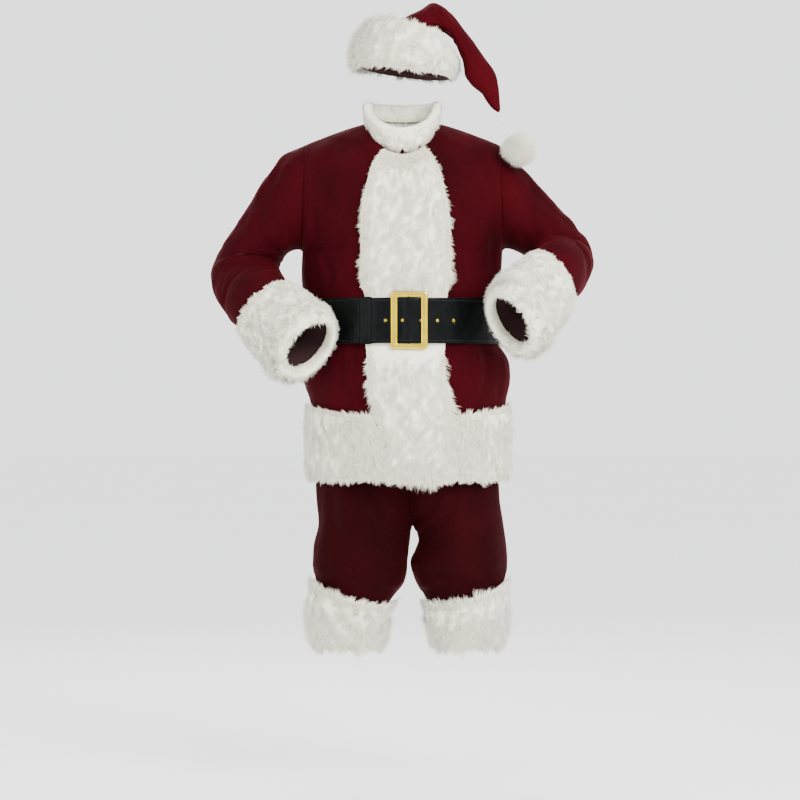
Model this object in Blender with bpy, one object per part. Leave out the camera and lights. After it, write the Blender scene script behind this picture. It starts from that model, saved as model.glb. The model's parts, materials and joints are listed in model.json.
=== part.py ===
"""Santa suit, worn and hollow: belted jacket, trousers and stocking hat.

Metres, +Z up. The wearer faces -Y, and left and right are the wearer's, so left is +X.
The origin is at the base of the neck, between the shoulders.
"""

import math

import bmesh
import bpy
import numpy as np

SEAM = 0.0003          # gap between pieces that are sewn or lie together
CLOTH = 0.0020         # velvet with its backing
FUR_LIFT = 0.0012      # the fur's backing over the cloth it is sewn on
FUR_GAP = 0.0030       # between the hem's fur and the front band, where their piles meet
TAU = 2.0 * math.pi

# Jacket, heights of its main lines
HEM_Z = -0.840
ARMPIT_Z = -0.293
JACKET_CENTRE = -0.004         # the jacket sits a little to the wearer's right above the belt
SHOULDER_X = 0.233             # half distance between the shoulder tips
SHOULDER_Z = -0.036
ARMPIT_X = 0.240
ARMHOLE_DEPTH = 0.095          # half the armhole, front to back
NECK_X = 0.075                 # half width of the neckline
NECK_SIDE_Z = 0.018
NECK_FRONT = (-0.062, -0.050)  # y and z of the neckline at the centre front
NECK_BACK = (0.066, 0.014)
NECK_SHARE = 0.42              # the share of a panel's top edge that is neckline

# Belt and buckle
BELT_TOP = -0.408
BELT_BOTTOM = -0.515
STRAP = 0.0035                 # thickness of the strap
STRAP_OVER_CLOTH = 0.0018
STRAP_OVER_FUR = 0.0090        # the strap's back above the fronts where fur and keeper lie under it
FUR_REACH = 0.112              # half width of the stretch where the strap lies on fur
STRAP_EASE = 0.075             # length over which the strap comes down from the fur
STRAP_START_X = 0.004          # the buckle end of the strap
STRAP_TIP_X = -0.113
EYELET = 0.0055                # diameter of a hole
EYELETS_X = (-0.043, -0.006, 0.034, 0.070, 0.106)
BUCKLE_X = 0.012
BUCKLE_Z = -0.4615
BUCKLE_SIZE = (0.087, 0.1355)
BUCKLE_RIM = (0.016, 0.0132)   # width of the upright and of the level members
BUCKLE_THICK = 0.0045
BAR_RADIUS = 0.0030
KEEPER_X = (-0.098, -0.074)
KEEPER = 0.0018                # thickness of the keeper's strip

# Trousers
WAIST_Z = -0.520
CROTCH_Z = -0.946
LEG_CUFF_BOTTOM = -1.247
LEG_CUFF_HEIGHT = 0.142
LEG_CUFF_TILT = 0.022          # how much higher the outer side of a cuff's top is
LEG_CUFF_LIFT = {"left": 0.0011, "right": 0.0020}
WAISTBAND = 0.040

# Hat
POMPOM_CENTRE = (0.275, -0.092, -0.049)
POMPOM_CORE = 0.031
POMPOM_REACH = 0.0445
POMPOM_POINTS = 50
POMPOM_BARE = 0.86             # locks nearer to the cord than this cosine are left out
CORD_RADIUS = 0.0013

# Mesh sizes
TORSO_COLUMNS = 8              # from the centre line to a side seam
SLEEVE_COLUMNS = 18
LEG_COLUMNS = 8                # in a quarter of the trousers
CROWN_COLUMNS = 8              # in half the hat


def table(names, *rows):
    """A table read by the names of its columns."""
    return dict(zip(names.split(), np.array(rows, float).T))


# Jacket below the armpits: centre line, half width, depth in front and behind
TORSO = table(
    "z centre half front back",
    (-0.880, 0.010, 0.229, 0.193, 0.180),
    (-0.840, 0.010, 0.229, 0.194, 0.180),
    (-0.740, 0.010, 0.230, 0.196, 0.178),
    (-0.655, 0.010, 0.234, 0.198, 0.173),
    (-0.590, 0.005, 0.250, 0.200, 0.166),
    (-0.545, 0.000, 0.247, 0.194, 0.154),
    (-0.515, -0.006, 0.234, 0.185, 0.142),
    (-0.408, -0.006, 0.234, 0.185, 0.142),
    (-0.380, -0.006, 0.238, 0.186, 0.144),
    (-0.340, -0.006, 0.240, 0.180, 0.144),
    (-0.293, -0.004, 0.240, 0.169, 0.140),
)

# The middle of the front and of the back, from the armpit's level (0) to the neckline (1)
CENTRE_LINE = table(
    "t front back",
    (0.00, 0.169, 0.140),
    (0.35, 0.152, 0.138),
    (0.70, 0.117, 0.118),
    (0.90, 0.082, 0.088),
    (1.00, -NECK_FRONT[0], NECK_BACK[0]),
)

# Sleeves: rings by their upper, outer end and their lower, inner end, the middle's y and half depth
RING = "outer_x outer_z inner_x inner_z y depth"
RIGHT_SLEEVE = table(
    RING,
    (-0.237, -0.036, -0.244, -0.293, 0.000, 0.095),
    (-0.300, -0.072, -0.259, -0.295, 0.000, 0.094),
    (-0.348, -0.140, -0.271, -0.298, 0.000, 0.090),
    (-0.395, -0.215, -0.281, -0.304, 0.006, 0.086),
    (-0.440, -0.283, -0.290, -0.316, 0.010, 0.083),
    (-0.463, -0.345, -0.297, -0.331, 0.000, 0.081),
    (-0.449, -0.405, -0.291, -0.347, -0.034, 0.079),
    (-0.420, -0.447, -0.285, -0.357, -0.078, 0.077),
    (-0.394, -0.475, -0.278, -0.367, -0.122, 0.076),
    (-0.334, -0.529, -0.224, -0.417, -0.184, 0.076),
    (-0.277, -0.582, -0.173, -0.464, -0.238, 0.078),
)
LEFT_SLEEVE = table(
    RING,
    (0.229, -0.036, 0.236, -0.293, 0.000, 0.095),
    (0.290, -0.098, 0.249, -0.292, 0.000, 0.094),
    (0.348, -0.160, 0.261, -0.294, 0.000, 0.090),
    (0.402, -0.219, 0.273, -0.298, 0.006, 0.086),
    (0.441, -0.266, 0.285, -0.301, 0.010, 0.082),
    (0.455, -0.310, 0.296, -0.303, -0.002, 0.079),
    (0.441, -0.360, 0.303, -0.301, -0.046, 0.077),
    (0.403, -0.413, 0.312, -0.297, -0.118, 0.075),
    (0.349, -0.467, 0.259, -0.349, -0.184, 0.075),
    (0.296, -0.527, 0.204, -0.405, -0.238, 0.077),
)
RIGHT_CUFF_START = 8           # the ring where the fur cuff begins
LEFT_CUFF_START = 7

# Largest folds: where round and along, how far round and along they reach, share of the radius
FOLD = "angle along wide long depth"
RIGHT_SLEEVE_FOLDS = table(
    FOLD,
    (70.0, 1.6, 34.0, 0.55, -0.085),
    (120.0, 3.0, 30.0, 0.60, -0.075),
    (60.0, 3.9, 32.0, 0.55, 0.060),
    (135.0, 4.9, 36.0, 0.45, -0.100),
    (80.0, 5.9, 34.0, 0.50, -0.060),
    (250.0, 2.4, 36.0, 0.70, -0.070),
    (235.0, 4.8, 36.0, 0.55, -0.085),
)
LEFT_SLEEVE_FOLDS = table(
    FOLD,
    (78.0, 1.3, 32.0, 0.55, -0.080),
    (118.0, 2.5, 30.0, 0.55, -0.075),
    (55.0, 3.4, 32.0, 0.55, 0.055),
    (140.0, 4.4, 36.0, 0.50, -0.100),
    (75.0, 5.3, 34.0, 0.50, -0.060),
    (245.0, 2.2, 36.0, 0.70, -0.070),
    (240.0, 4.5, 36.0, 0.55, -0.080),
)

# Trousers: inner and outer side of each leg, the middle's y and half depth
LEG = "z inner outer y depth"
RIGHT_LEG = table(
    LEG,
    (-1.250, -0.077, -0.189, 0.000, 0.062),
    (-1.150, -0.048, -0.209, 0.000, 0.088),
    (-1.115, -0.022, -0.206, 0.000, 0.104),
    (-1.090, -0.002, -0.211, 0.000, 0.114),
    (-1.066, 0.006, -0.216, 0.000, 0.120),
    (-1.032, 0.009, -0.218, 0.000, 0.125),
    (-0.998, 0.014, -0.216, 0.000, 0.128),
    (-0.946, 0.020, -0.206, 0.000, 0.132),
    (-0.900, 0.042, -0.209, 0.000, 0.135),
    (-0.840, 0.070, -0.211, 0.000, 0.138),
    (-0.760, 0.096, -0.208, 0.000, 0.140),
    (-0.650, 0.124, -0.198, 0.000, 0.138),
    (-0.520, 0.170, -0.170, 0.000, 0.128),
)
LEFT_LEG = table(
    LEG,
    (-1.250, 0.100, 0.212, 0.000, 0.062),
    (-1.150, 0.068, 0.226, 0.000, 0.088),
    (-1.115, 0.048, 0.231, 0.000, 0.104),
    (-1.090, 0.031, 0.239, 0.000, 0.114),
    (-1.066, 0.020, 0.246, 0.000, 0.120),
    (-1.034, 0.014, 0.249, 0.000, 0.125),
    (-1.005, 0.026, 0.247, 0.000, 0.128),
    (-0.977, 0.034, 0.243, 0.000, 0.130),
    (-0.946, 0.020, 0.238, 0.000, 0.132),
    (-0.900, -0.010, 0.232, 0.000, 0.135),
    (-0.840, -0.044, 0.228, 0.000, 0.138),
    (-0.760, -0.076, 0.220, 0.000, 0.140),
    (-0.650, -0.110, 0.206, 0.000, 0.138),
    (-0.520, -0.170, 0.170, 0.000, 0.128),
)
# The seam between the legs: its x by height
RISE = table("z x", (-1.250, 0.012), (-1.034, 0.012), (-0.946, 0.020), (-0.700, 0.010), (-0.520, 0.0))

# Hat: rings by their upper, outer end and their lower, inner end, as for the sleeves
CROWN = table(
    RING,
    (-0.106, 0.150, 0.110, 0.122, 0.000, 0.112),
    (-0.099, 0.196, 0.107, 0.164, 0.000, 0.110),
    (-0.074, 0.232, 0.098, 0.202, 0.000, 0.102),
    (-0.038, 0.254, 0.090, 0.226, 0.000, 0.088),
    (0.000, 0.270, 0.093, 0.236, 0.000, 0.074),
    (0.036, 0.289, 0.103, 0.232, 0.000, 0.062),
    (0.070, 0.304, 0.117, 0.215, 0.000, 0.052),
    (0.104, 0.287, 0.131, 0.189, -0.002, 0.044),
    (0.150, 0.231, 0.142, 0.160, -0.006, 0.037),
    (0.196, 0.168, 0.146, 0.128, -0.012, 0.031),
    (0.219, 0.134, 0.163, 0.104, -0.020, 0.026),
    (0.227, 0.100, 0.184, 0.086, -0.028, 0.021),
    (0.229, 0.068, 0.197, 0.066, -0.036, 0.016),
    (0.230, 0.047, 0.209, 0.050, -0.042, 0.010),
    (0.2270, 0.0380, 0.2210, 0.0402, -0.045, 0.0032),
)
HAT_BAND_END = 3.1             # the fur band reaches this ring of the crown

# Fur, as its pile along the piece: 0 and 1 are the strip's edges
HEM_PILE = table("at pile", (0.0, 0.008), (0.10, 0.020), (0.5, 0.024), (0.9, 0.022), (1.0, 0.009))
CUFF_PILE = table("at pile", (0.0, 0.008), (0.12, 0.022), (0.5, 0.034), (0.88, 0.046), (1.0, 0.030))
LEG_PILE = table("at pile", (0.0, 0.010), (0.12, 0.022), (0.5, 0.030), (0.88, 0.032), (1.0, 0.014))
HAT_PILE = table("at pile", (0.0, 0.012), (0.15, 0.030), (0.5, 0.034), (0.85, 0.026), (1.0, 0.006))

# Front band of fur: left and right edge and pile, by the height on the centre line
BAND = table(
    "z right left pile",
    (-0.869, -0.036, 0.101, 0.020),
    (-0.850, -0.038, 0.102, 0.032),
    (-0.740, -0.047, 0.104, 0.034),
    (-0.690, -0.062, 0.111, 0.033),
    (-0.655, -0.078, 0.111, 0.028),
    (-0.600, -0.086, 0.100, 0.024),
    (-0.556, -0.088, 0.095, 0.021),
    (-0.538, -0.089, 0.095, 0.009),
    (-0.531, -0.090, 0.096, 0.0062),
    (-0.397, -0.095, 0.103, 0.0062),
    (-0.390, -0.097, 0.104, 0.009),
    (-0.373, -0.101, 0.108, 0.023),
    (-0.300, -0.103, 0.110, 0.026),
    (-0.230, -0.103, 0.108, 0.026),
    (-0.160, -0.090, 0.092, 0.023),
    (-0.110, -0.072, 0.072, 0.019),
    (-0.068, -0.050, 0.050, 0.012),
)


def smooth(knots, values, at):
    """A smooth curve through a column: cubic pieces with the slopes of their neighbours' chords."""
    slopes = np.gradient(values, knots)
    at = np.clip(at, knots[0], knots[-1])
    piece = np.clip(np.searchsorted(knots, at, side="right") - 1, 0, len(knots) - 2)
    length = knots[piece + 1] - knots[piece]
    f = (at - knots[piece]) / length
    start = (1 + 2 * f) * (1 - f) ** 2 * values[piece] + f * (1 - f) ** 2 * length * slopes[piece]
    end = f * f * (3 - 2 * f) * values[piece + 1] + f * f * (f - 1) * length * slopes[piece + 1]
    return start + end


def by_height(rows, name, z):
    return smooth(rows["z"], rows[name], z)


def by_row(rows, name, v):
    return smooth(np.arange(len(rows[name]), dtype=float), rows[name], v)


def point(x, y, z):
    """x, y and z as one array of points, whatever shapes they have."""
    return np.stack(np.broadcast_arrays(x, y, z), axis=-1).astype(float)


def step(a, b, x):
    """0 below a and 1 above b, with a soft rise between them."""
    f = np.clip((x - a) / (b - a), 0.0, 1.0)
    return f * f * (3 - 2 * f)


def folds_at(rows, angle, along):
    """Soft troughs and ridges, as a share of the radius."""
    total = np.zeros(np.broadcast(angle, along).shape)
    for a, v, wide, long, depth in zip(*(rows[name] for name in FOLD.split())):
        turn = (angle - math.radians(a) + math.pi) % TAU - math.pi
        total += depth * np.exp(-((turn / math.radians(wide)) ** 2) - ((along - v) / long) ** 2)
    return total


def jacket(face, s, v):
    """Front (face -1) or back (face 1): s runs from -1 to 1 across it, v from 0 at the hem
    to 1 at the armpits, as ellipses, and on to 2 at neck and shoulders, as a patch that
    blends its centre line, armhole, armpit line and top edge."""
    s, v = np.broadcast_arrays(np.asarray(s, float), np.asarray(v, float))
    side = np.where(s < 0, -1.0, 1.0)
    depth_name = "front" if face < 0 else "back"
    z = HEM_Z + (ARMPIT_Z - HEM_Z) * np.minimum(v, 1.0)
    angle = s * math.pi / 2
    depth = by_height(TORSO, depth_name, z)
    low_x = by_height(TORSO, "centre", z) + by_height(TORSO, "half", z) * np.sin(angle)
    low_y = face * (depth * np.cos(angle) + SEAM / 2)

    a = np.abs(s)
    t = np.clip(v - 1.0, 0.0, None)
    neck_y, neck_z = NECK_FRONT if face < 0 else NECK_BACK
    base = point(ARMPIT_X * np.sin(a * math.pi / 2),
                 face * TORSO[depth_name][-1] * np.cos(a * math.pi / 2), ARMPIT_Z)
    centre = point(0.0 * t, face * smooth(CENTRE_LINE["t"], CENTRE_LINE[depth_name], t),
                   ARMPIT_Z + (neck_z - ARMPIT_Z) * t)
    round_hole = math.pi * (t - 0.5)
    hole = point((ARMPIT_X + SHOULDER_X) / 2 - (ARMPIT_X - SHOULDER_X) / 2 * np.sin(round_hole),
                 face * ARMHOLE_DEPTH * np.cos(round_hole),
                 (ARMPIT_Z + SHOULDER_Z) / 2 + (SHOULDER_Z - ARMPIT_Z) / 2 * np.sin(round_hole))
    round_neck = np.clip(a / NECK_SHARE, 0.0, 1.0) * math.pi / 2
    out = np.clip((a - NECK_SHARE) / (1.0 - NECK_SHARE), 0.0, None)
    top = point(NECK_X * np.sin(round_neck) + (SHOULDER_X - NECK_X) * out,
                neck_y * np.cos(round_neck),
                neck_z + (NECK_SIDE_Z - neck_z) * (1 - np.cos(round_neck))
                + (SHOULDER_Z - NECK_SIDE_Z) * out ** 1.25)
    rise = point(t, np.clip(t, 0, None) ** 1.9, t)
    a = a[..., None]
    corner_low_in = point(0.0 * t, face * TORSO[depth_name][-1], ARMPIT_Z)
    corner_low_out = point(ARMPIT_X + 0.0 * t, 0.0, ARMPIT_Z)
    corner_top_in = point(0.0 * t, neck_y, neck_z)
    corner_top_out = point(SHOULDER_X + 0.0 * t, 0.0, SHOULDER_Z)
    patch = ((1 - rise) * base + rise * top + (1 - a) * centre + a * hole
             - (1 - a) * (1 - rise) * corner_low_in - a * (1 - rise) * corner_low_out
             - (1 - a) * rise * corner_top_in - a * rise * corner_top_out)
    high = point(JACKET_CENTRE + side * patch[..., 0], patch[..., 1] + face * SEAM / 2, patch[..., 2])
    low = point(low_x, low_y, HEM_Z + (ARMPIT_Z - HEM_Z) * v)
    return np.where(v[..., None] > 1.0, high, low)


def height_to_v(z):
    """The jacket's v of a height on its centre front."""
    low = (z - HEM_Z) / (ARMPIT_Z - HEM_Z)
    high = 1.0 + (z - ARMPIT_Z) / (NECK_FRONT[1] - ARMPIT_Z)
    return np.where(z > ARMPIT_Z, high, low)


def round_tube(rows, folds, angle, v):
    """Rings between an outer and an inner end, set square to the line of their middles."""
    def middle(at):
        return point((by_row(rows, "outer_x", at) + by_row(rows, "inner_x", at)) / 2,
                     by_row(rows, "y", at),
                     (by_row(rows, "outer_z", at) + by_row(rows, "inner_z", at)) / 2)

    angle, v = np.broadcast_arrays(np.asarray(angle, float), np.asarray(v, float))
    last = len(rows["y"]) - 1.0
    ahead = np.minimum(v + 0.05, last)
    behind = np.maximum(v - 0.05, 0.0)
    line = middle(ahead) - middle(behind)
    line /= np.linalg.norm(line, axis=-1, keepdims=True)
    half = point((by_row(rows, "outer_x", v) - by_row(rows, "inner_x", v)) / 2, 0.0,
                 (by_row(rows, "outer_z", v) - by_row(rows, "inner_z", v)) / 2)
    front = np.array((0.0, -1.0, 0.0)) + line[..., 1:2] * line
    front *= (by_row(rows, "depth", v) / np.linalg.norm(front, axis=-1))[..., None]
    size = 1.0 + (0.0 if folds is None else folds_at(folds, angle, v))
    ring = np.cos(angle)[..., None] * half + np.sin(angle)[..., None] * front
    return middle(v) + np.asarray(size)[..., None] * ring


def leg(side, face, s, z):
    """A quarter of the trousers: s runs from the inner seam (0) to the outer (1) round an
    ellipse, which the seam between the legs cuts off above the crotch."""
    s, z = np.broadcast_arrays(np.asarray(s, float), np.asarray(z, float))
    rows = LEFT_LEG if side > 0 else RIGHT_LEG
    inner = by_height(rows, "inner", z)
    outer = by_height(rows, "outer", z)
    half = side * (outer - inner) / 2
    seam_x = by_height(RISE, "x", z) + side * SEAM / 2
    cut = np.clip(side * (seam_x - (inner + outer) / 2) / half, -1.0, 1.0)
    whole = np.where(z < CROTCH_Z, math.pi, np.arccos(cut))
    angle = whole * (1.0 - s)
    return point((inner + outer) / 2 + side * half * np.cos(angle),
                 by_height(rows, "y", z) + face * (by_height(rows, "depth", z) * np.sin(angle) + SEAM / 2),
                 z)


def normals(surface, u, v, facing):
    """Unit normals of surface(u, v), from its slopes a hair to either side."""
    hair = 1e-4
    u, v = np.broadcast_arrays(np.asarray(u, float), np.asarray(v, float))
    across = surface(u + hair, v) - surface(u - hair, v)
    along = surface(u, v + hair) - surface(u, v - hair)
    normal = np.cross(across, along) * facing
    return normal / np.maximum(np.linalg.norm(normal, axis=-1, keepdims=True), 1e-12)


def flatten(normal, plane):
    """Normals turned into a plane, so that a wall's edge stays in it."""
    plane = np.asarray(plane, float) / np.linalg.norm(plane)
    normal = normal - (normal @ plane)[..., None] * plane
    return normal / np.linalg.norm(normal, axis=-1, keepdims=True)


suit = bpy.data.collections.new("santa_suit")
cutters = bpy.data.collections.new("cutters")


def material(name, colour, roughness, metallic=0.0):
    made = bpy.data.materials.new(name)
    made.use_nodes = True
    shader = made.node_tree.nodes["Principled BSDF"]
    shader.inputs["Base Color"].default_value = (*colour, 1.0)
    shader.inputs["Roughness"].default_value = roughness
    shader.inputs["Metallic"].default_value = metallic
    return made


def add(name, mesh, finish, to=None, smooth_shading=True):
    made = bpy.data.objects.new(name, mesh)
    mesh.materials.append(finish)
    if smooth_shading:
        mesh.shade_smooth()
    (to or suit).objects.link(made)
    return made


def wall(name, outer, inner, around, finish):
    """A closed wall between two grids of points. Its edges are closed by strips, and a grid
    that goes all the way round is joined to itself."""
    rows, columns = outer.shape[:2]
    points = np.concatenate([outer.reshape(-1, 3), inner.reshape(-1, 3)])
    index = np.arange(rows * columns).reshape(rows, columns)
    if around:
        index = np.concatenate([index, index[:, :1]], axis=1)
    far = index + rows * columns

    def strips(a, b, c, d):
        return np.stack([a.ravel(), b.ravel(), c.ravel(), d.ravel()], axis=1)

    faces = [strips(index[:-1, :-1], index[:-1, 1:], index[1:, 1:], index[1:, :-1]),
             strips(far[:-1, :-1], far[1:, :-1], far[1:, 1:], far[:-1, 1:]),
             strips(index[0, :-1], far[0, :-1], far[0, 1:], index[0, 1:]),
             strips(index[-1, :-1], index[-1, 1:], far[-1, 1:], far[-1, :-1])]
    if not around:
        faces += [strips(index[:-1, 0], index[1:, 0], far[1:, 0], far[:-1, 0]),
                  strips(index[:-1, -1], far[:-1, -1], far[1:, -1], index[1:, -1])]
    mesh = bpy.data.meshes.new(name)
    mesh.from_pydata(points.tolist(), [], np.concatenate(faces).tolist())
    build = bmesh.new()
    build.from_mesh(mesh)
    bmesh.ops.recalc_face_normals(build, faces=build.faces)
    build.to_mesh(mesh)
    build.free()
    return add(name, mesh, finish)


def panel_rows():
    """The rows of the jacket's panels, as v: by height to the armpits, then even steps."""
    z = np.array((-0.840, -0.780, -0.720, -0.675, -0.655, -0.600, -0.565, -0.540,
                  BELT_BOTTOM, BELT_TOP, -0.385, -0.355, -0.325, -0.293))
    return np.concatenate([(z - HEM_Z) / (ARMPIT_Z - HEM_Z), 1.0 + np.arange(1, 8) / 7.0])


def panel_columns():
    """The columns from the centre line to the side, as s, with one where the neckline ends."""
    half = TORSO_COLUMNS // 2
    gap = SEAM / 2 / SHOULDER_X / (math.pi / 2)
    return np.concatenate([np.linspace(gap, NECK_SHARE, half + 1),
                           np.linspace(NECK_SHARE, 1.0, half + 1)[1:]])


def make_jacket_panels(velvet):
    """Two fronts and a back, from the hem to the neckline and the shoulder seams."""
    v = panel_rows()[:, None]
    quarter = panel_columns()
    whole = np.concatenate([-quarter[:0:-1], (0.0,), quarter[1:]])
    names = (("jacket_front_left", -1, quarter), ("jacket_front_right", -1, -quarter[::-1]),
             ("jacket_back", 1, whole))
    for name, face, across in names:
        s = across[None, :]
        outer = jacket(face, s, v)
        normal = normals(lambda a, b: jacket(face, a, b), s, v, -face)
        shoulder = np.abs(across) >= NECK_SHARE
        normal[-1, shoulder] = flatten(normal[-1, shoulder], (0.0, 1.0, 0.0))
        low = v[:, 0] <= 1.0
        for column in (0, -1):
            seam = (0.0, 1.0, 0.0) if abs(s[0, column]) > 0.5 else (1.0, 0.0, 0.0)
            rows = low if abs(s[0, column]) > 0.5 else slice(None)
            normal[rows, column] = flatten(normal[rows, column], seam)
        wall(name, outer, outer - CLOTH * normal, False, velvet)


def sleeve(side, angle, v):
    rows = LEFT_SLEEVE if side > 0 else RIGHT_SLEEVE
    folds = LEFT_SLEEVE_FOLDS if side > 0 else RIGHT_SLEEVE_FOLDS
    return round_tube(rows, folds, angle, v)


def make_sleeves(velvet, fur):
    """Each sleeve is a tube from the armhole, round the bent arm, to the end of its cuff,
    and the fur cuff lies on its last stretch."""
    hole_plane = np.array((SHOULDER_Z - ARMPIT_Z, 0.0, ARMPIT_X - SHOULDER_X))
    for side, name, start in ((1, "left", LEFT_CUFF_START), (-1, "right", RIGHT_CUFF_START)):
        last = len((LEFT_SLEEVE if side > 0 else RIGHT_SLEEVE)["y"]) - 1.0
        angle = (np.arange(SLEEVE_COLUMNS) * TAU / SLEEVE_COLUMNS)[None, :]
        v = np.linspace(0.0, last, 16)[:, None]

        def surface(a, b, side=side):
            return sleeve(side, a, b)

        outer = surface(angle, v)
        normal = normals(surface, angle, v, side)
        normal[0] = flatten(normal[0], hole_plane * (side, 1.0, 1.0))
        outer[0, :, 0] += side * SEAM
        wall("sleeve_" + name, outer, outer - CLOTH * normal, True, velvet)

        at = np.array((0.0, 0.10, 0.35, 0.65, 0.90, 1.0))[:, None]
        v = start - 0.05 + (last + 0.06 - start) * at
        normal = normals(surface, angle, v, side)
        pile = smooth(CUFF_PILE["at"], CUFF_PILE["pile"], at)
        squashed = 1.0 - 0.55 * np.clip(np.cos(angle - math.radians(225.0)), 0.0, 1.0)
        base = surface(angle, v)
        wall("sleeve_cuff_fur_" + name, base + (pile * squashed)[..., None] * normal,
             base + FUR_LIFT * normal, True, fur)


def band_edges(z):
    return by_height(BAND, "right", z), by_height(BAND, "left", z)


def s_of_x(v, x):
    """The front's s where its surface has this x, for one row of the front."""
    fine = np.linspace(-1.0, 1.0, 401)
    return np.interp(x, jacket(-1, fine, v)[:, 0], fine)


def make_front_band(fur):
    """The fur band down the front, over both fronts, from the neck to just below the hem."""
    v = np.concatenate([height_to_v(np.array((-0.869, -0.856))), panel_rows()[1:-1], (1.93,)])
    z = np.where(v > 1.0, ARMPIT_Z + (NECK_FRONT[1] - ARMPIT_Z) * (v - 1.0),
                 HEM_Z + (ARMPIT_Z - HEM_Z) * v)
    across = np.array((0.0, 0.06, 0.20, 0.35, 0.5, 0.65, 0.80, 0.94, 1.0))
    edge = np.array((0.45, 0.85, 1.0, 1.0, 1.0, 1.0, 1.0, 0.85, 0.45))
    right, left = band_edges(z)
    s = np.array([s_of_x(v[row], right[row] + (left[row] - right[row]) * across)
                  for row in range(len(z))])
    base = jacket(-1, s, v[:, None])
    normal = normals(lambda a, b: jacket(-1, a, b), s, v[:, None], 1)
    pile = by_height(BAND, "pile", z)[:, None] * edge
    wall("front_band_fur", base + pile[..., None] * normal, base + FUR_LIFT * normal, False, fur)


def make_hem_fur(fur):
    """The fur band round the hem, from one edge of the front band to the other. Round the
    hem, s runs over the front up to 1, over the back up to 3, and on over the front to 4."""
    z = np.array((-0.847, -0.832, -0.780, -0.720, -0.675, -0.655))
    at = (z - z[0]) / (z[-1] - z[0])
    v = height_to_v(z)
    quarter = panel_columns()
    outside = quarter[quarter > 0.3]
    behind = np.concatenate([2.0 - quarter[:0:-1], (2.0,), 2.0 + quarter[1:]])
    shared = np.concatenate([outside[:-1], behind, 4.0 - outside[-2::-1]])

    right, left = band_edges(z)
    rows = []
    for row in range(len(z)):
        first = s_of_x(v[row], left[row] + FUR_GAP)
        last = s_of_x(v[row], right[row] - FUR_GAP) + 4.0
        near_band = ((shared[0] + first) / 2, (shared[-1] + last) / 2)
        rows.append(np.concatenate([(first, near_band[0]), shared, (near_band[1], last)]))
    s = np.array(rows)
    flip = np.where(s > 3.0, s - 4.0, s)
    in_front = np.abs(flip) <= 1.0
    front_s = np.where(in_front, flip, 0.0)
    back_s = np.where(in_front, 0.0, 2.0 - flip)
    v = v[:, None]
    base = np.where(in_front[..., None], jacket(-1, front_s, v), jacket(1, back_s, v))
    normal = np.where(in_front[..., None],
                      normals(lambda a, b: jacket(-1, a, b), front_s, v, 1),
                      normals(lambda a, b: jacket(1, a, b), back_s, v, -1))
    pile = smooth(HEM_PILE["at"], HEM_PILE["pile"], at)[:, None] * np.ones_like(s)
    wall("hem_fur", base + pile[..., None] * normal, base + FUR_LIFT * normal, False, fur)


def make_collar(fur):
    """A narrow fur band that stands on the neckline."""
    columns = 2 * TORSO_COLUMNS
    angle = (np.arange(columns) * TAU / columns)[None, :]
    front = np.cos(angle) > 0
    y = np.where(front, NECK_FRONT[0] * np.cos(angle), -NECK_BACK[0] * np.cos(angle))
    low = np.where(front, NECK_FRONT[1], NECK_BACK[1])
    z = low + (NECK_SIDE_Z - low) * (1 - np.abs(np.cos(angle)))
    line = point(JACKET_CENTRE + NECK_X * np.sin(angle), y, z)
    away = point(np.sin(angle), -np.cos(angle), 0.0)
    height = 0.040
    lean = 0.25
    at = np.array((0.0, 0.22, 0.5, 0.8, 1.0))[:, None]
    bulge = np.array((0.0, 0.006, 0.016, 0.017, 0.009))[:, None]
    up = point(0.0, 0.0, 1.0)
    rise = (4 * SEAM + height * at)[..., None]
    spine = line + rise * (up + lean * away)
    wall("collar_fur", spine + bulge[..., None] * away, spine - CLOTH * away, True, fur)


def strap_point(angle, z, lift):
    """A point over the jacket at the belt: angle 0 is the centre front, more is the wearer's left."""
    centre = by_height(TORSO, "centre", z)
    depth = np.where(np.cos(angle) > 0, by_height(TORSO, "front", z), by_height(TORSO, "back", z))
    half = by_height(TORSO, "half", z)
    x = half * np.sin(angle)
    y = -depth * np.cos(angle)
    away = point(x / half ** 2, y / depth ** 2, 0.0)
    away /= np.linalg.norm(away, axis=-1, keepdims=True)
    return point(centre + x, y, z) + np.asarray(lift)[..., None] * away


def angle_of_x(x):
    """The angle in front at which the belt has this x."""
    middle = (BELT_TOP + BELT_BOTTOM) / 2
    return math.asin((x - by_height(TORSO, "centre", middle)) / by_height(TORSO, "half", middle))


def fur_lift(angle):
    """How far the strap's back lies off the fronts."""
    x = np.abs(0.235 * np.sin(angle))
    near = np.where(np.cos(angle) > 0, 1.0 - step(FUR_REACH, FUR_REACH + STRAP_EASE, x), 0.0)
    return STRAP_OVER_CLOTH + (STRAP_OVER_FUR - STRAP_OVER_CLOTH) * near


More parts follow.
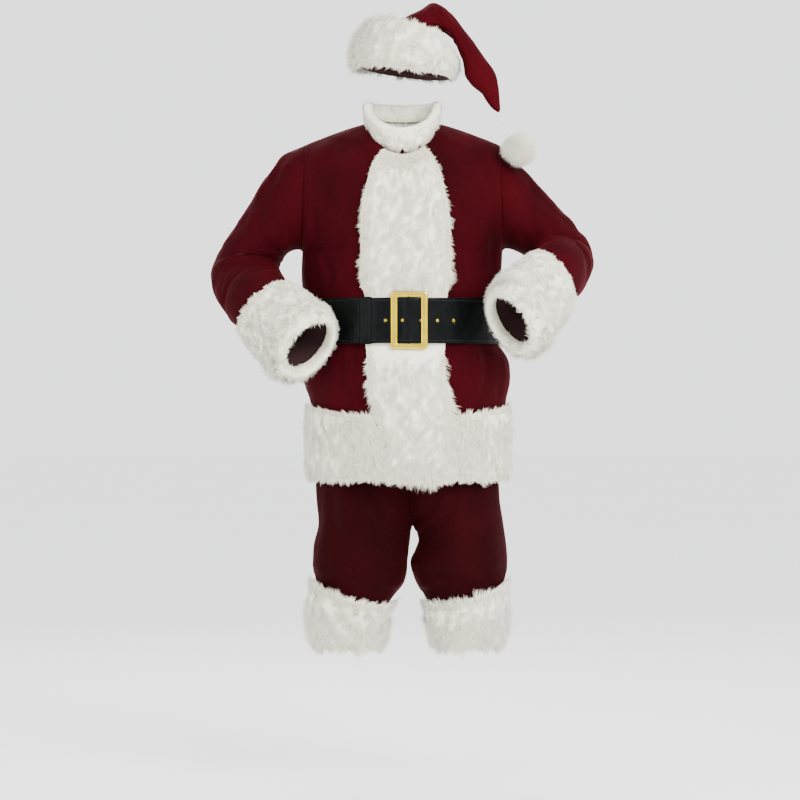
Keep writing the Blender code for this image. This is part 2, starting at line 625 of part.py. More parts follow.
def make_belt(leather):
    """One strap, wound once round: it starts at the buckle, goes round the wearer's right side
    and the back, and its free end comes over its start, over the bar and under the keeper."""
    first = angle_of_x(STRAP_START_X)
    last = angle_of_x(STRAP_TIP_X) - TAU
    tip = 0.030
    tip_steps = np.array((0.0, 0.35, 0.65, 0.86, 0.97)) * tip / 0.19
    over_bar = [angle_of_x(BUCKLE_X + x) - TAU for x in (-0.020, -0.0075, 0.0, 0.0075, 0.020)]
    front_steps = np.linspace(last + 0.75, last + tip / 0.19, 14)
    front_steps = front_steps[np.abs(front_steps - over_bar[2]) > 0.11]
    front_steps = np.sort(np.concatenate([front_steps, over_bar]))[::-1]
    start_steps = np.linspace(first, first - 0.70, 12)
    body = np.linspace(first - 0.70, last + 0.85, 38)
    angle = np.concatenate([start_steps[:-1], body, front_steps, last + tip / 0.19 - tip_steps[1:]])
    over = 1.0 - step(-TAU + angle_of_x(0.035), -TAU + angle_of_x(0.105), angle)
    x = JACKET_CENTRE + 0.234 * np.sin(angle)
    hump = over * np.exp(-((x - BUCKLE_X) / 0.011) ** 2) * 0.0052
    lift = fur_lift(angle) + over * (STRAP + SEAM) + hump
    middle = (BELT_TOP + BELT_BOTTOM) / 2
    half = (BELT_TOP - BELT_BOTTOM) / 2
    to_tip = np.clip((last + tip / 0.19 - angle) / (tip / 0.19), 0.0, 1.0)
    width = np.sqrt(1.0 - 0.92 * to_tip ** 2)
    z = middle + half * np.array((-1.0, 1.0))[:, None] * width
    inner = strap_point(angle[None, :] + 0 * z, z, lift + 0 * z)
    outer = strap_point(angle[None, :] + 0 * z, z, lift + STRAP + 0 * z)
    strap = wall("belt_strap", outer, inner, False, leather)
    holes = bmesh.new()
    for x in EYELETS_X:
        at = angle_of_x(x)
        centre = strap_point(np.array(at), middle, np.array(STRAP_OVER_FUR + 2 * STRAP + 0.0075))
        made = bmesh.ops.create_cone(holes, cap_ends=True, segments=12, radius1=EYELET / 2,
                                     radius2=EYELET / 2, depth=0.0210 if x > 0.09 else 0.0140)
        turn = np.array(((1, 0, 0), (0, 0, -1), (0, 1, 0)), float)
        for vert in made["verts"]:
            vert.co = centre + turn @ np.array(vert.co)
    mesh = bpy.data.meshes.new("eyelet_cutter")
    holes.to_mesh(mesh)
    holes.free()
    cutter = add("eyelet_cutter", mesh, leather, to=cutters)
    cutter.hide_render = True
    cutter.display_type = "WIRE"
    cut = strap.modifiers.new("eyelets", "BOOLEAN")
    cut.operation = "DIFFERENCE"
    cut.object = cutter


def make_keeper(leather):
    """A flat loop that holds the free end down on the strap."""
    angle = np.linspace(angle_of_x(KEEPER_X[0]), angle_of_x(KEEPER_X[1]), 3)[:, None]
    middle = (BELT_TOP + BELT_BOTTOM) / 2
    half = (BELT_TOP - BELT_BOTTOM) / 2
    low, high = STRAP_OVER_FUR, STRAP_OVER_FUR + 2 * STRAP + SEAM

    def loop(out):
        soft = 0.3 * out
        z = np.array((-half - out, -half - soft, half + soft, half + out,
                      half + out, half + soft, -half - soft, -half - out))
        lift = np.array((low - soft, low - out, low - out, low - soft,
                         high + soft, high + out, high + out, high + soft))
        return strap_point(angle + 0 * z, middle + z + 0 * angle, lift + 0 * angle)

    wall("belt_keeper", loop(2 * SEAM + KEEPER), loop(2 * SEAM), True, leather)


def make_buckle(gold):
    """A flat frame in front of the strap, and the bar behind the strap's free end."""
    edges = np.array((BELT_TOP, BELT_BOTTOM))
    lift = np.full(2, STRAP_OVER_FUR + 2 * STRAP + 2 * SEAM)
    plane_y = float(strap_point(np.zeros(2), edges, lift)[:, 1].min())
    share = np.array((0.0, 0.0, 0.12, 0.30, 0.80, 1.0, 1.0))
    front = np.array((0.0, 0.60, 0.90, 1.0, 0.90, 0.60, 0.0))
    corners = []
    for quarter in range(4):
        for turn in (0.0, 0.5, 1.0):
            corners.append(((quarter + turn) * math.pi / 2, quarter))
    rows = []
    for at, quarter in corners:
        radius = np.maximum(0.0075 * (1.0 - share), 0.0015)
        sign_x = (1, -1, -1, 1)[quarter]
        sign_z = (1, 1, -1, -1)[quarter]
        x = BUCKLE_X + sign_x * (BUCKLE_SIZE[0] / 2 - share * BUCKLE_RIM[0] - radius) + radius * math.cos(at)
        z = BUCKLE_Z + sign_z * (BUCKLE_SIZE[1] / 2 - share * BUCKLE_RIM[1] - radius) + radius * math.sin(at)
        rows.append(point(x, plane_y - front * BUCKLE_THICK, z))
    ring = np.array(rows)
    count, across = ring.shape[:2]
    index = np.arange(count * across).reshape(count, across)
    after = np.roll(index, -1, axis=0)
    quads = np.stack([index, after, np.roll(after, -1, axis=1), np.roll(index, -1, axis=1)], axis=-1)
    mesh = bpy.data.meshes.new("buckle_frame")
    mesh.from_pydata(ring.reshape(-1, 3).tolist(), [], quads.reshape(-1, 4).tolist())
    build = bmesh.new()
    build.from_mesh(mesh)
    bmesh.ops.recalc_face_normals(build, faces=build.faces)
    build.to_mesh(mesh)
    build.free()
    add("buckle_frame", mesh, gold, smooth_shading=False)

    bpy.ops.mesh.primitive_cylinder_add(
        vertices=12, radius=BAR_RADIUS, depth=BUCKLE_SIZE[1] - 0.012,
        location=(BUCKLE_X, plane_y + SEAM + BAR_RADIUS, BUCKLE_Z))
    bar = bpy.context.object
    bar.name = "buckle_bar"
    bar.data.materials.append(gold)
    for collection in list(bar.users_collection):
        collection.objects.unlink(bar)
    suit.objects.link(bar)


def make_trousers(velvet, fur):
    """Four panels, a waistband and a fur cuff on each leg."""
    z = np.array((-1.240, -1.195, -1.150, -1.122, -1.098, -1.066, -1.025, -0.985, -0.9462,
                  -0.915, -0.870, -0.800, -0.700, -0.600, WAIST_Z))[:, None]
    s = np.linspace(0.0, 1.0, LEG_COLUMNS + 1)[None, :]
    for side, side_name in ((1, "left"), (-1, "right")):
        for face, face_name in ((-1, "front"), (1, "back")):

            def surface(a, b, side=side, face=face):
                return leg(side, face, a, b)

            outer = surface(s, z)
            normal = normals(surface, np.clip(s, 0.001, 0.999), z - 0.0002, -face * side)
            for column in (0, -1):
                low = z[:, 0] < CROTCH_Z
                rows = low if column == 0 else slice(None)
                normal[rows, column] = flatten(normal[rows, column], (0.0, 1.0, 0.0))
            wall(f"trousers_{face_name}_{side_name}", outer, outer - CLOTH * normal, False, velvet)

    for side, name in ((1, "left"), (-1, "right")):
        columns = 4 * LEG_COLUMNS
        angle = (np.arange(columns) * TAU / columns)[None, :]
        at = np.array((0.0, 0.12, 0.45, 0.85, 1.0))[:, None]
        z = LEG_CUFF_BOTTOM + (LEG_CUFF_HEIGHT + LEG_CUFF_TILT * np.cos(angle)) * at
        rows = LEFT_LEG if side > 0 else RIGHT_LEG

        def tube(a, b, rows=rows, side=side):
            middle = (by_height(rows, "inner", b) + by_height(rows, "outer", b)) / 2
            half = side * (by_height(rows, "outer", b) - by_height(rows, "inner", b)) / 2
            depth = by_height(rows, "depth", b)
            return point(middle + side * half * np.cos(a), -(depth + SEAM) * np.sin(a), b)

        base = tube(angle, z)
        normal = normals(tube, angle + 0 * z, z, -side)
        normal[..., 2] *= 0.5
        pile = smooth(LEG_PILE["at"], LEG_PILE["pile"], at)
        wall("leg_cuff_fur_" + name, base + (pile + 0 * angle)[..., None] * normal,
             base + LEG_CUFF_LIFT[name] * normal, True, fur)

    angle = (np.arange(32) * TAU / 32)[None, :]
    at = np.array((0.0, 1.0))[:, None]
    half = LEFT_LEG["outer"][-1]
    depth = LEFT_LEG["depth"][-1]
    height = WAIST_Z + SEAM + WAISTBAND * at
    away = point(np.cos(angle) + 0 * at, np.sin(angle) + 0 * at, 0.0)
    band = point(half * np.cos(angle), depth * np.sin(angle), height)
    wall("waistband", band, band - CLOTH * away, True, velvet)


def crown(angle, v):
    return round_tube(CROWN, None, angle, v)


def make_hat(velvet, fur, thread):
    """Front and back of the crown, from the brow to the tip of the tail, the fur band, and
    the pompom on its cord."""
    v = np.array((0.0, 0.8, 1.6, 2.4, 3.2, 4.0, 5.0, 6.0, 7.0, 8.0, 9.0, 10.0, 11.0, 12.0, 13.0, 14.0))
    v = v[:, None]
    for name, start, shift in (("hat_crown_front", 0.0, -SEAM / 2), ("hat_crown_back", math.pi, SEAM / 2)):
        angle = start + np.linspace(0.0, math.pi, CROWN_COLUMNS + 1)[None, :]
        outer = crown(angle, v) + (0.0, shift, 0.0)
        normal = normals(crown, angle, v, 1)
        for column in (0, -1):
            normal[:, column] = flatten(normal[:, column], (0.0, 1.0, 0.0))
        thickness = np.minimum(CLOTH, 0.35 * by_row(CROWN, "depth", v))[..., None]
        wall(name, outer, outer - thickness * normal, False, velvet)

    columns = 4 * CROWN_COLUMNS
    angle = (np.arange(columns) * TAU / columns)[None, :]
    v = np.array((0.0, 0.4, 0.8, 1.6, 2.4, 2.8, HAT_BAND_END))[:, None]
    at = v / HAT_BAND_END
    base = crown(angle, v)
    normal = normals(crown, angle, np.maximum(v, 0.01), 1)
    pile = smooth(HAT_PILE["at"], HAT_PILE["pile"], at)
    under_tail = np.clip(-np.cos(angle), 0.0, 1.0) ** 2
    squashed = 1.0 - under_tail * step(0.2, 0.75, at) * 0.72
    wall("hat_band_fur", base + (pile * squashed)[..., None] * normal,
         base + FUR_LIFT * normal, True, fur)

    centre = np.array(POMPOM_CENTRE)
    tip = crown(np.array((0.0, math.pi)), 14.0).mean(axis=0)
    towards = (tip - centre) / np.linalg.norm(tip - centre)
    ball = bmesh.new()
    order = np.arange(POMPOM_POINTS) + 0.5
    height = 1 - 2 * order / POMPOM_POINTS
    turn = order * math.pi * (1 + math.sqrt(5))
    width = np.sqrt(1 - height ** 2)
    for place in point(width * np.cos(turn), width * np.sin(turn), height) * POMPOM_CORE + centre:
        ball.verts.new(place)
    bmesh.ops.convex_hull(ball, input=ball.verts)
    bmesh.ops.recalc_face_normals(ball, faces=ball.faces)
    planes = [(np.array(face.normal), np.array(face.calc_center_median()) - centre) for face in ball.faces]
    surface = min((normal @ spot) / (normal @ towards) for normal, spot in planes if normal @ towards > 0)
    locks = [face for face in ball.faces
             if (np.array(face.calc_center_median()) - centre) @ towards < POMPOM_BARE * POMPOM_CORE]
    bmesh.ops.inset_individual(ball, faces=locks, thickness=0.0012, use_even_offset=True)
    poked = bmesh.ops.poke(ball, faces=locks)
    uneven = np.random.default_rng(7).uniform(0.88, 1.0, len(poked["verts"]))
    for vert, share in zip(poked["verts"], uneven):
        away = np.array(vert.co) - centre
        vert.co = centre + away / np.linalg.norm(away) * POMPOM_REACH * share
    bmesh.ops.recalc_face_normals(ball, faces=ball.faces)
    mesh = bpy.data.meshes.new("pompom")
    ball.to_mesh(mesh)
    ball.free()
    add("pompom", mesh, fur, smooth_shading=False)

    ends = np.array((tip + (0.0, 0.0, -0.001), centre + towards * (surface + 2 * SEAM)))
    share = np.linspace(0.0, 1.0, 9)
    sag = 0.004 * np.sin(math.pi * share)
    route = ends[0] + share[:, None] * (ends[1] - ends[0]) - sag[:, None] * np.array((0.5, 0.0, 0.6))
    curve = bpy.data.curves.new("pompom_cord", "CURVE")
    curve.dimensions = "3D"
    curve.bevel_depth = CORD_RADIUS
    curve.bevel_resolution = 2
    curve.use_fill_caps = True
    spline = curve.splines.new("POLY")
    spline.points.add(len(route) - 1)
    for spot, place in zip(spline.points, route):
        spot.co = (*place, 1.0)
    curve.materials.append(thread)
    suit.objects.link(bpy.data.objects.new("pompom_cord", curve))


def main():
    for old in list(bpy.data.objects):
        bpy.data.objects.remove(old)
    bpy.context.scene.collection.children.link(suit)
    bpy.context.scene.collection.children.link(cutters)
    velvet = material("velvet", (0.075, 0.005, 0.009), 0.75)
    fur = material("fur", (0.80, 0.79, 0.70), 0.95)
    leather = material("black_leather", (0.012, 0.014, 0.013), 0.35)
    gold = material("gold", (0.70, 0.55, 0.16), 0.25, 1.0)
    thread = material("thread", (0.85, 0.85, 0.82), 0.8)
    make_jacket_panels(velvet)
    make_sleeves(velvet, fur)
    make_front_band(fur)
    make_hem_fur(fur)
    make_collar(fur)
    make_belt(leather)
    make_keeper(leather)
    make_buckle(gold)
    make_trousers(velvet, fur)
    make_hat(velvet, fur, thread)


main()
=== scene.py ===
# %% [markdown]
# # A worn santa suit
# This lesson dresses the hard model of a santa suit: velvet that creases, long fur, a glossy
# belt, a gold buckle and a stocking hat. The hard model gives every piece its place, so the
# first step loads it.

# %% Load the hard model
import json
import math

import bmesh
import bpy
import numpy as np
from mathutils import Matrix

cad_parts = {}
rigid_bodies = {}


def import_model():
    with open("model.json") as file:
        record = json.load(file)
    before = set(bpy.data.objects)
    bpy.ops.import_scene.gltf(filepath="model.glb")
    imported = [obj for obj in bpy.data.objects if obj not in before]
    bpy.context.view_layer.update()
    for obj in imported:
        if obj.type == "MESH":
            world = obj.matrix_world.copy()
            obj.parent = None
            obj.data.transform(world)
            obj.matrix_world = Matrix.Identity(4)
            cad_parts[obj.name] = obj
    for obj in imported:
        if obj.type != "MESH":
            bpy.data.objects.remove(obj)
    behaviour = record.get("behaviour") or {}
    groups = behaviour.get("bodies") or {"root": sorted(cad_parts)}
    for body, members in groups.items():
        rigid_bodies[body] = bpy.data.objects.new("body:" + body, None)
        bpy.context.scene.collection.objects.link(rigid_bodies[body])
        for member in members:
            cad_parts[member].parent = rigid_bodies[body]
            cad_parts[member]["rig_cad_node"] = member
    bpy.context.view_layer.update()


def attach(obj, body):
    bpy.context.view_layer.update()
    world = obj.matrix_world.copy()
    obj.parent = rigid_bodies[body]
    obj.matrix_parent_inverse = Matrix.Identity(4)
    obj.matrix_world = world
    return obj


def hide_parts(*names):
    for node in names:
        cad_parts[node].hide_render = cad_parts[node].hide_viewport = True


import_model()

# %% [markdown]
# ## The camera
# A photographer stands well back for a whole figure, so the lens is long and the suit is seen
# nearly without perspective. The frame is 1.92 m wide at the middle of the suit.

# %% Camera
FRAME_WIDTH = 1.92
FRAME_CENTRE = (-0.0096, -0.648)
CAMERA_BACK = 8.0


def put(name, data):
    """A new object with this data, linked into the scene."""
    made = bpy.data.objects.new(name, data)
    bpy.context.scene.collection.objects.link(made)
    return made


lens = bpy.data.cameras.new("camera")
lens.lens = lens.sensor_width * CAMERA_BACK / FRAME_WIDTH
lens.clip_end = 60.0
camera = put("camera", lens)
camera.location = (FRAME_CENTRE[0], -CAMERA_BACK, FRAME_CENTRE[1])
camera.rotation_euler = (math.pi / 2, 0.0, 0.0)
bpy.context.scene.camera = camera
print("lens:", round(lens.lens), "mm")

# %% [markdown]
# ## Sizes of the suit
# A tailor works from a list of measures, and so do the surfaces here. Each table has named
# columns and one row for each height or ring, in millimetres, and is read in metres. Left and
# right are the wearer's.

# %% Measures of the jacket, sleeves, trousers and hat
TAU = 2.0 * math.pi
CLOTH = 0.0020
FUR_LIFT = 0.0012
HEM_Z, ARMPIT_Z = -0.840, -0.293
BELT_BOTTOM, BELT_TOP = -0.515, -0.408
SHOULDER_X, SHOULDER_Z, ARMPIT_X, ARMHOLE_DEPTH = 0.233, -0.036, 0.240, 0.095
NECK_X, NECK_SIDE_Z, NECK_SHARE = 0.075, 0.018, 0.42
NECK_FRONT, NECK_BACK = (-0.062, -0.050), (0.066, 0.014)
JACKET_CENTRE = -0.004
WAIST_Z, CROTCH_Z = -0.520, -0.946
RIGHT_CUFF_START, LEFT_CUFF_START, HAT_BAND_END = 8, 7, 3.1
SHARES = ("t", "at", "turn", "angle", "ring", "spread", "reach", "share")


def table(names, *rows):
    """A table in millimetres, read in metres by the names of its columns. Shares and degrees
    aren't divided."""
    columns = zip(names.split(), np.array(rows, float).T)
    return {name: column if name in SHARES else column / 1000 for name, column in columns}


TORSO = table("z centre half front back",
    (-880, 10, 229, 193, 180), (-840, 10, 229, 194, 180), (-740, 10, 230, 196, 178),
    (-655, 10, 234, 198, 173), (-590, 5, 250, 200, 166), (-545, 0, 247, 194, 154),
    (-515, -6, 234, 185, 142), (-408, -6, 234, 185, 142), (-380, -6, 238, 186, 144),
    (-340, -6, 240, 180, 144), (-293, -4, 240, 169, 140))
CENTRE_LINE = table("t front back",
    (0, 169, 140), (0.35, 152, 138), (0.7, 117, 118), (0.9, 82, 88), (1, 62, 66))
RING = "outer_x outer_z inner_x inner_z y depth"
RIGHT_SLEEVE = table(RING,
    (-237, -36, -244, -293, 0, 95), (-300, -72, -259, -295, 0, 94), (-348, -140, -271, -298, 0, 90),
    (-395, -215, -281, -304, 6, 86), (-440, -283, -290, -316, 10, 83),
    (-463, -345, -297, -331, 0, 81), (-449, -405, -291, -347, -34, 79),
    (-420, -447, -285, -357, -78, 77), (-394, -475, -278, -367, -122, 76),
    (-334, -529, -224, -417, -184, 76), (-277, -582, -173, -464, -238, 78))
LEFT_SLEEVE = table(RING,
    (229, -36, 236, -293, 0, 95), (290, -98, 249, -292, 0, 94), (348, -160, 261, -294, 0, 90),
    (402, -219, 273, -298, 6, 86), (441, -266, 285, -301, 10, 82), (455, -310, 296, -303, -2, 79),
    (441, -360, 303, -301, -46, 77), (403, -413, 312, -297, -118, 75),
    (349, -467, 259, -349, -184, 75), (296, -527, 204, -405, -238, 77))
LEG = "z inner outer depth"
RIGHT_LEG = table(LEG,
    (-1250, -77, -189, 62), (-1150, -48, -209, 88), (-1115, -22, -206, 104),
    (-1090, -2, -211, 114), (-1066, 6, -216, 120), (-1032, 9, -218, 125),
    (-998, 14, -216, 128), (-946, 20, -206, 132), (-900, 42, -209, 135),
    (-840, 70, -211, 138), (-760, 96, -208, 140), (-650, 124, -198, 138),
    (-520, 170, -170, 128))
LEFT_LEG = table(LEG,
    (-1250, 100, 212, 62), (-1150, 68, 226, 88), (-1115, 48, 231, 104),
    (-1090, 31, 239, 114), (-1066, 20, 246, 120), (-1034, 14, 249, 125),
    (-1005, 26, 247, 128), (-977, 34, 243, 130), (-946, 20, 238, 132),
    (-900, -10, 232, 135), (-840, -44, 228, 138), (-760, -76, 220, 140),
    (-650, -110, 206, 138), (-520, -170, 170, 128))
RISE = table("z x",
    (-1250, 12), (-1034, 12), (-946, 20), (-700, 10), (-520, 0))
CROWN = table(RING,
    (-106, 150, 110, 122, 0, 112), (-99, 196, 107, 164, 0, 110), (-74, 232, 98, 202, 0, 102),
    (-38, 254, 90, 226, 0, 88), (0, 270, 93, 236, 0, 74), (36, 289, 103, 232, 0, 62),
    (70, 304, 117, 215, 0, 52), (104, 287, 131, 189, -2, 44), (150, 231, 142, 160, -6, 37),
    (196, 168, 146, 128, -12, 31), (219, 134, 163, 104, -20, 26), (227, 100, 184, 86, -28, 21),
    (229, 68, 197, 66, -36, 16), (230, 47, 209, 50, -42, 10), (227, 38, 221, 40.2, -45, 3.2))
BAND = table("z right left pile",
    (-869, -36, 101, 20), (-850, -38, 102, 32), (-740, -47, 104, 34), (-690, -62, 111, 33),
    (-655, -78, 111, 28), (-600, -86, 100, 24), (-556, -88, 95, 21), (-538, -89, 95, 9),
    (-531, -90, 96, 6.2), (-397, -95, 103, 6.2), (-390, -97, 104, 9), (-373, -101, 108, 23),
    (-300, -103, 110, 26), (-230, -103, 108, 26), (-160, -90, 92, 23), (-110, -72, 72, 19),
    (-68, -50, 50, 12))
print("rows:", {name: len(rows["z"]) for name, rows in (("torso", TORSO), ("left leg", LEFT_LEG))})

# %% [markdown]
# ## Smooth curves through the tables
# A table gives a few rings, and cloth is smooth between them. A cubic through each pair of
# rows, with the slope of the neighbouring rows, keeps every curve soft. It works on whole
# arrays, so a surface of thousands of points is one sum.

# %% Curves and points


def smooth(knots, values, at):
    """Cubic through each pair of rows: value = start row * (1 + 2f)(1 - f)^2 + end row *
    f^2 (3 - 2f), and the slopes of the neighbours' chords bend it."""
    slopes = np.gradient(values, knots)
    at = np.clip(at, knots[0], knots[-1])
    piece = np.clip(np.searchsorted(knots, at, side="right") - 1, 0, len(knots) - 2)
    length = knots[piece + 1] - knots[piece]
    f = (at - knots[piece]) / length
    start = (1 + 2 * f) * (1 - f) ** 2 * values[piece] + f * (1 - f) ** 2 * length * slopes[piece]
    end = f * f * (3 - 2 * f) * values[piece + 1] + f * f * (f - 1) * length * slopes[piece + 1]
    return start + end


def by_height(rows, name, z):
    """A column at any height z."""
    return smooth(rows["z"], rows[name], z)


def by_row(rows, name, v):
    """A column at any place v between the rows, counted from 0."""
    return smooth(np.arange(len(rows[name]), dtype=float), rows[name], v)


def point(x, y, z):
    """x, y and z as one array of points, whatever shapes they have."""
    return np.stack(np.broadcast_arrays(x, y, z), axis=-1).astype(float)


def step(a, b, x):
    """0 below a and 1 above b, with f^2 (3 - 2f) between them."""
    f = np.clip((x - a) / (b - a), 0.0, 1.0)
    return f * f * (3 - 2 * f)


def unit(vectors):
    """Vectors divided by their lengths."""
    return vectors / np.maximum(np.linalg.norm(vectors, axis=-1, keepdims=True), 1e-12)


print("half the hem:", round(float(by_height(TORSO, "half", HEM_Z)), 3), "m")

# %% [markdown]
# ## Creases
# Velvet is thick and soft, so its creases are wide and few. A crease is a trough with a low
# ridge beside it, a bell along its length and a bell across it. Each row of a crease table
# is one crease. A slow sum of waves adds the uneven hang of the cloth.

# %% Troughs, ridges and a slow unevenness
CREASE = "across along turn long wide depth"


def creases(rows, across, along):
    """Depth * exp(-(p / long)^2) * (exp(-(q / wide)^2) - 0.45 exp(-((q - 1.8 wide) / 1.3 wide)^2)),
    summed over the rows, where p runs along the crease and q across it, bent a little."""
    total = 0.0 * across + 0.0 * along
    for a, b, turn, long, wide, depth in zip(*(rows[name] for name in CREASE.split())):
        cos, sin = math.cos(math.radians(turn)), math.sin(math.radians(turn))
        p = (across - a) * cos + (along - b) * sin
        q = (along - b) * cos - (across - a) * sin - 0.18 * p * p / long
        trough = np.exp(-(q / wide) ** 2) - 0.45 * np.exp(-((q - 1.8 * wide) / (1.3 * wide)) ** 2)
        total = total + depth * np.exp(-(p / long) ** 2) * trough
    return total


def waves(places, size, seed, count=7):
    """The mean of sines along random directions, each about size long: smooth, from -1 to 1."""
    chance = np.random.default_rng(seed)
    ways = unit(chance.normal(size=(count, 3))) * TAU / size * chance.uniform(0.6, 1.5, (count, 1))
    turns = chance.uniform(0, TAU, count)
    return np.sin(places @ ways.T + turns).mean(axis=-1) * 1.6


print("a wave's reach:",
      round(float(np.abs(waves(np.random.default_rng(1).random((500, 3)), 0.1, 2)).max()), 2))

# %% [markdown]
# ## The body of the jacket
# Below the armpits the jacket is a stack of ellipses. Above them each panel is a patch that
# blends four lines: the armpit line, the centre line, the armhole and the shoulder. Normals
# come from the slopes of the same function a hair to either side.

# %% Jacket, tube and leg surfaces


def jacket(face, s, v):
    """Front (-1) or back (1). s is -1 to 1 across; v is 0 at the hem, 1 at the armpits and 2
    at the neck. Low: x = centre + half sin, y = depth cos. High: a blend of four edge lines."""
    s, v = np.broadcast_arrays(np.asarray(s, float), np.asarray(v, float))
    side = np.where(s < 0, -1.0, 1.0)
    depth_name = "front" if face < 0 else "back"
    z = HEM_Z + (ARMPIT_Z - HEM_Z) * np.minimum(v, 1.0)
    angle = s * math.pi / 2
    low_x = by_height(TORSO, "centre", z) + by_height(TORSO, "half", z) * np.sin(angle)
    low_y = face * by_height(TORSO, depth_name, z) * np.cos(angle)

    a = np.abs(s)
    t = np.clip(v - 1.0, 0.0, None)
    neck_y, neck_z = NECK_FRONT if face < 0 else NECK_BACK
    base = point(ARMPIT_X * np.sin(a * math.pi / 2),
                 face * TORSO[depth_name][-1] * np.cos(a * math.pi / 2), ARMPIT_Z)
    centre = point(0.0 * t, face * smooth(CENTRE_LINE["t"], CENTRE_LINE[depth_name], t),
                   ARMPIT_Z + (neck_z - ARMPIT_Z) * t)
    round_hole = math.pi * (t - 0.5)
    hole = point((ARMPIT_X + SHOULDER_X) / 2 - (ARMPIT_X - SHOULDER_X) / 2 * np.sin(round_hole),
                 face * ARMHOLE_DEPTH * np.cos(round_hole),
                 (ARMPIT_Z + SHOULDER_Z) / 2 + (SHOULDER_Z - ARMPIT_Z) / 2 * np.sin(round_hole))
    round_neck = np.clip(a / NECK_SHARE, 0.0, 1.0) * math.pi / 2
    out = np.clip((a - NECK_SHARE) / (1.0 - NECK_SHARE), 0.0, None)
    top = point(NECK_X * np.sin(round_neck) + (SHOULDER_X - NECK_X) * out,
                neck_y * np.cos(round_neck),
                neck_z + (NECK_SIDE_Z - neck_z) * (1 - np.cos(round_neck))
                + (SHOULDER_Z - NECK_SIDE_Z) * out ** 1.25)
    rise = point(t, np.clip(t, 0, None) ** 1.9, t)
    a = a[..., None]
    patch = ((1 - rise) * base + rise * top + (1 - a) * centre + a * hole
             - (1 - a) * (1 - rise) * point(0.0 * t, face * TORSO[depth_name][-1], ARMPIT_Z)
             - a * (1 - rise) * point(ARMPIT_X + 0.0 * t, 0.0, ARMPIT_Z)
             - (1 - a) * rise * point(0.0 * t, neck_y, neck_z)
             - a * rise * point(SHOULDER_X + 0.0 * t, 0.0, SHOULDER_Z))
    high = point(JACKET_CENTRE + side * patch[..., 0], patch[..., 1], patch[..., 2])
    return np.where(v[..., None] > 1.0, high, point(low_x, low_y, HEM_Z + (ARMPIT_Z - HEM_Z) * v))


def height_to_v(z):
    """The jacket's v of a height on its centre front."""
    return np.where(z > ARMPIT_Z, 1.0 + (z - ARMPIT_Z) / (NECK_FRONT[1] - ARMPIT_Z),
                    (z - HEM_Z) / (ARMPIT_Z - HEM_Z))


def tube(rows, angle, v):
    """Rings square to the line of their middles: middle + cos * half + sin * front, where half
    runs to the ring's outer end and front is the way forward, set square to the line."""
    def middle(at):
        return point((by_row(rows, "outer_x", at) + by_row(rows, "inner_x", at)) / 2,
                     by_row(rows, "y", at),
                     (by_row(rows, "outer_z", at) + by_row(rows, "inner_z", at)) / 2)

    angle, v = np.broadcast_arrays(np.asarray(angle, float), np.asarray(v, float))
    last = len(rows["y"]) - 1.0
    line = unit(middle(np.minimum(v + 0.05, last)) - middle(np.maximum(v - 0.05, 0.0)))
    half = point((by_row(rows, "outer_x", v) - by_row(rows, "inner_x", v)) / 2, 0.0,
                 (by_row(rows, "outer_z", v) - by_row(rows, "inner_z", v)) / 2)
    front = np.array((0.0, -1.0, 0.0)) + line[..., 1:2] * line
    front = unit(front) * by_row(rows, "depth", v)[..., None]
    return middle(v) + np.cos(angle)[..., None] * half + np.sin(angle)[..., None] * front


def leg(side, face, s, z):
    """A quarter of the trousers: s runs from the inner seam (0) to the outer (1) round an
    ellipse, x = middle + half cos, y = depth sin, cut off by the seam between the legs."""
    s, z = np.broadcast_arrays(np.asarray(s, float), np.asarray(z, float))
    rows = LEFT_LEG if side > 0 else RIGHT_LEG
    inner, outer = by_height(rows, "inner", z), by_height(rows, "outer", z)
    half = side * (outer - inner) / 2
    cut = np.clip(side * (by_height(RISE, "x", z) - (inner + outer) / 2) / half, -1.0, 1.0)
    angle = np.where(z < CROTCH_Z, math.pi, np.arccos(cut)) * (1.0 - s)
    return point((inner + outer) / 2 + side * half * np.cos(angle),
                 face * by_height(rows, "depth", z) * np.sin(angle), z)


def slopes(surface, u, v, facing):
    """Unit normals and the unit ways across and along, from points a hair to either side."""
    hair = 1e-4
    u, v = np.broadcast_arrays(np.asarray(u, float), np.asarray(v, float))
    across = surface(u + hair, v) - surface(u - hair, v)
    along = surface(u, v + hair) - surface(u, v - hair)
    return unit(np.cross(across, along) * facing), unit(across), unit(along)


print("armpit:", jacket(-1, 1.0, 1.0).round(3))

# %% [markdown]
# ## From arrays to a mesh
# Every piece goes into Blender in the same way: one array of points and arrays of four- or
# three-cornered faces, handed over in one call each. Cloth has two sides, so a panel is a
# wall: an outer and an inner grid with their edges closed. The inner side gets the finish of
# the wrong side of the cloth.

# %% Meshes and walls


def mesh_of(name, points, faces, finishes, slots=None):
    """Faces are arrays of corner numbers, four or three to a row. Slots is one finish number
    for each array of faces."""
    mesh = bpy.data.meshes.new(name)
    mesh.vertices.add(len(points))
    mesh.vertices.foreach_set("co", np.asarray(points, np.float32).ravel())
    sizes = np.concatenate([np.full(len(f), f.shape[1]) for f in faces])
    mesh.loops.add(int(sizes.sum()))
    mesh.loops.foreach_set("vertex_index", np.concatenate([f.ravel() for f in faces]).astype(np.int32))
    mesh.polygons.add(len(sizes))
    mesh.polygons.foreach_set("loop_start", np.concatenate([(0,), np.cumsum(sizes)[:-1]]).astype(np.int32))
    mesh.polygons.foreach_set("use_smooth", np.ones(len(sizes), bool))
    for finish in finishes:
        mesh.materials.append(finish)
    if slots is not None:
        which = np.concatenate([np.full(len(f), slot) for f, slot in zip(faces, slots)])
        mesh.polygons.foreach_set("material_index", which.astype(np.int32))
    mesh.update(calc_edges=True)
    return put(name, mesh)


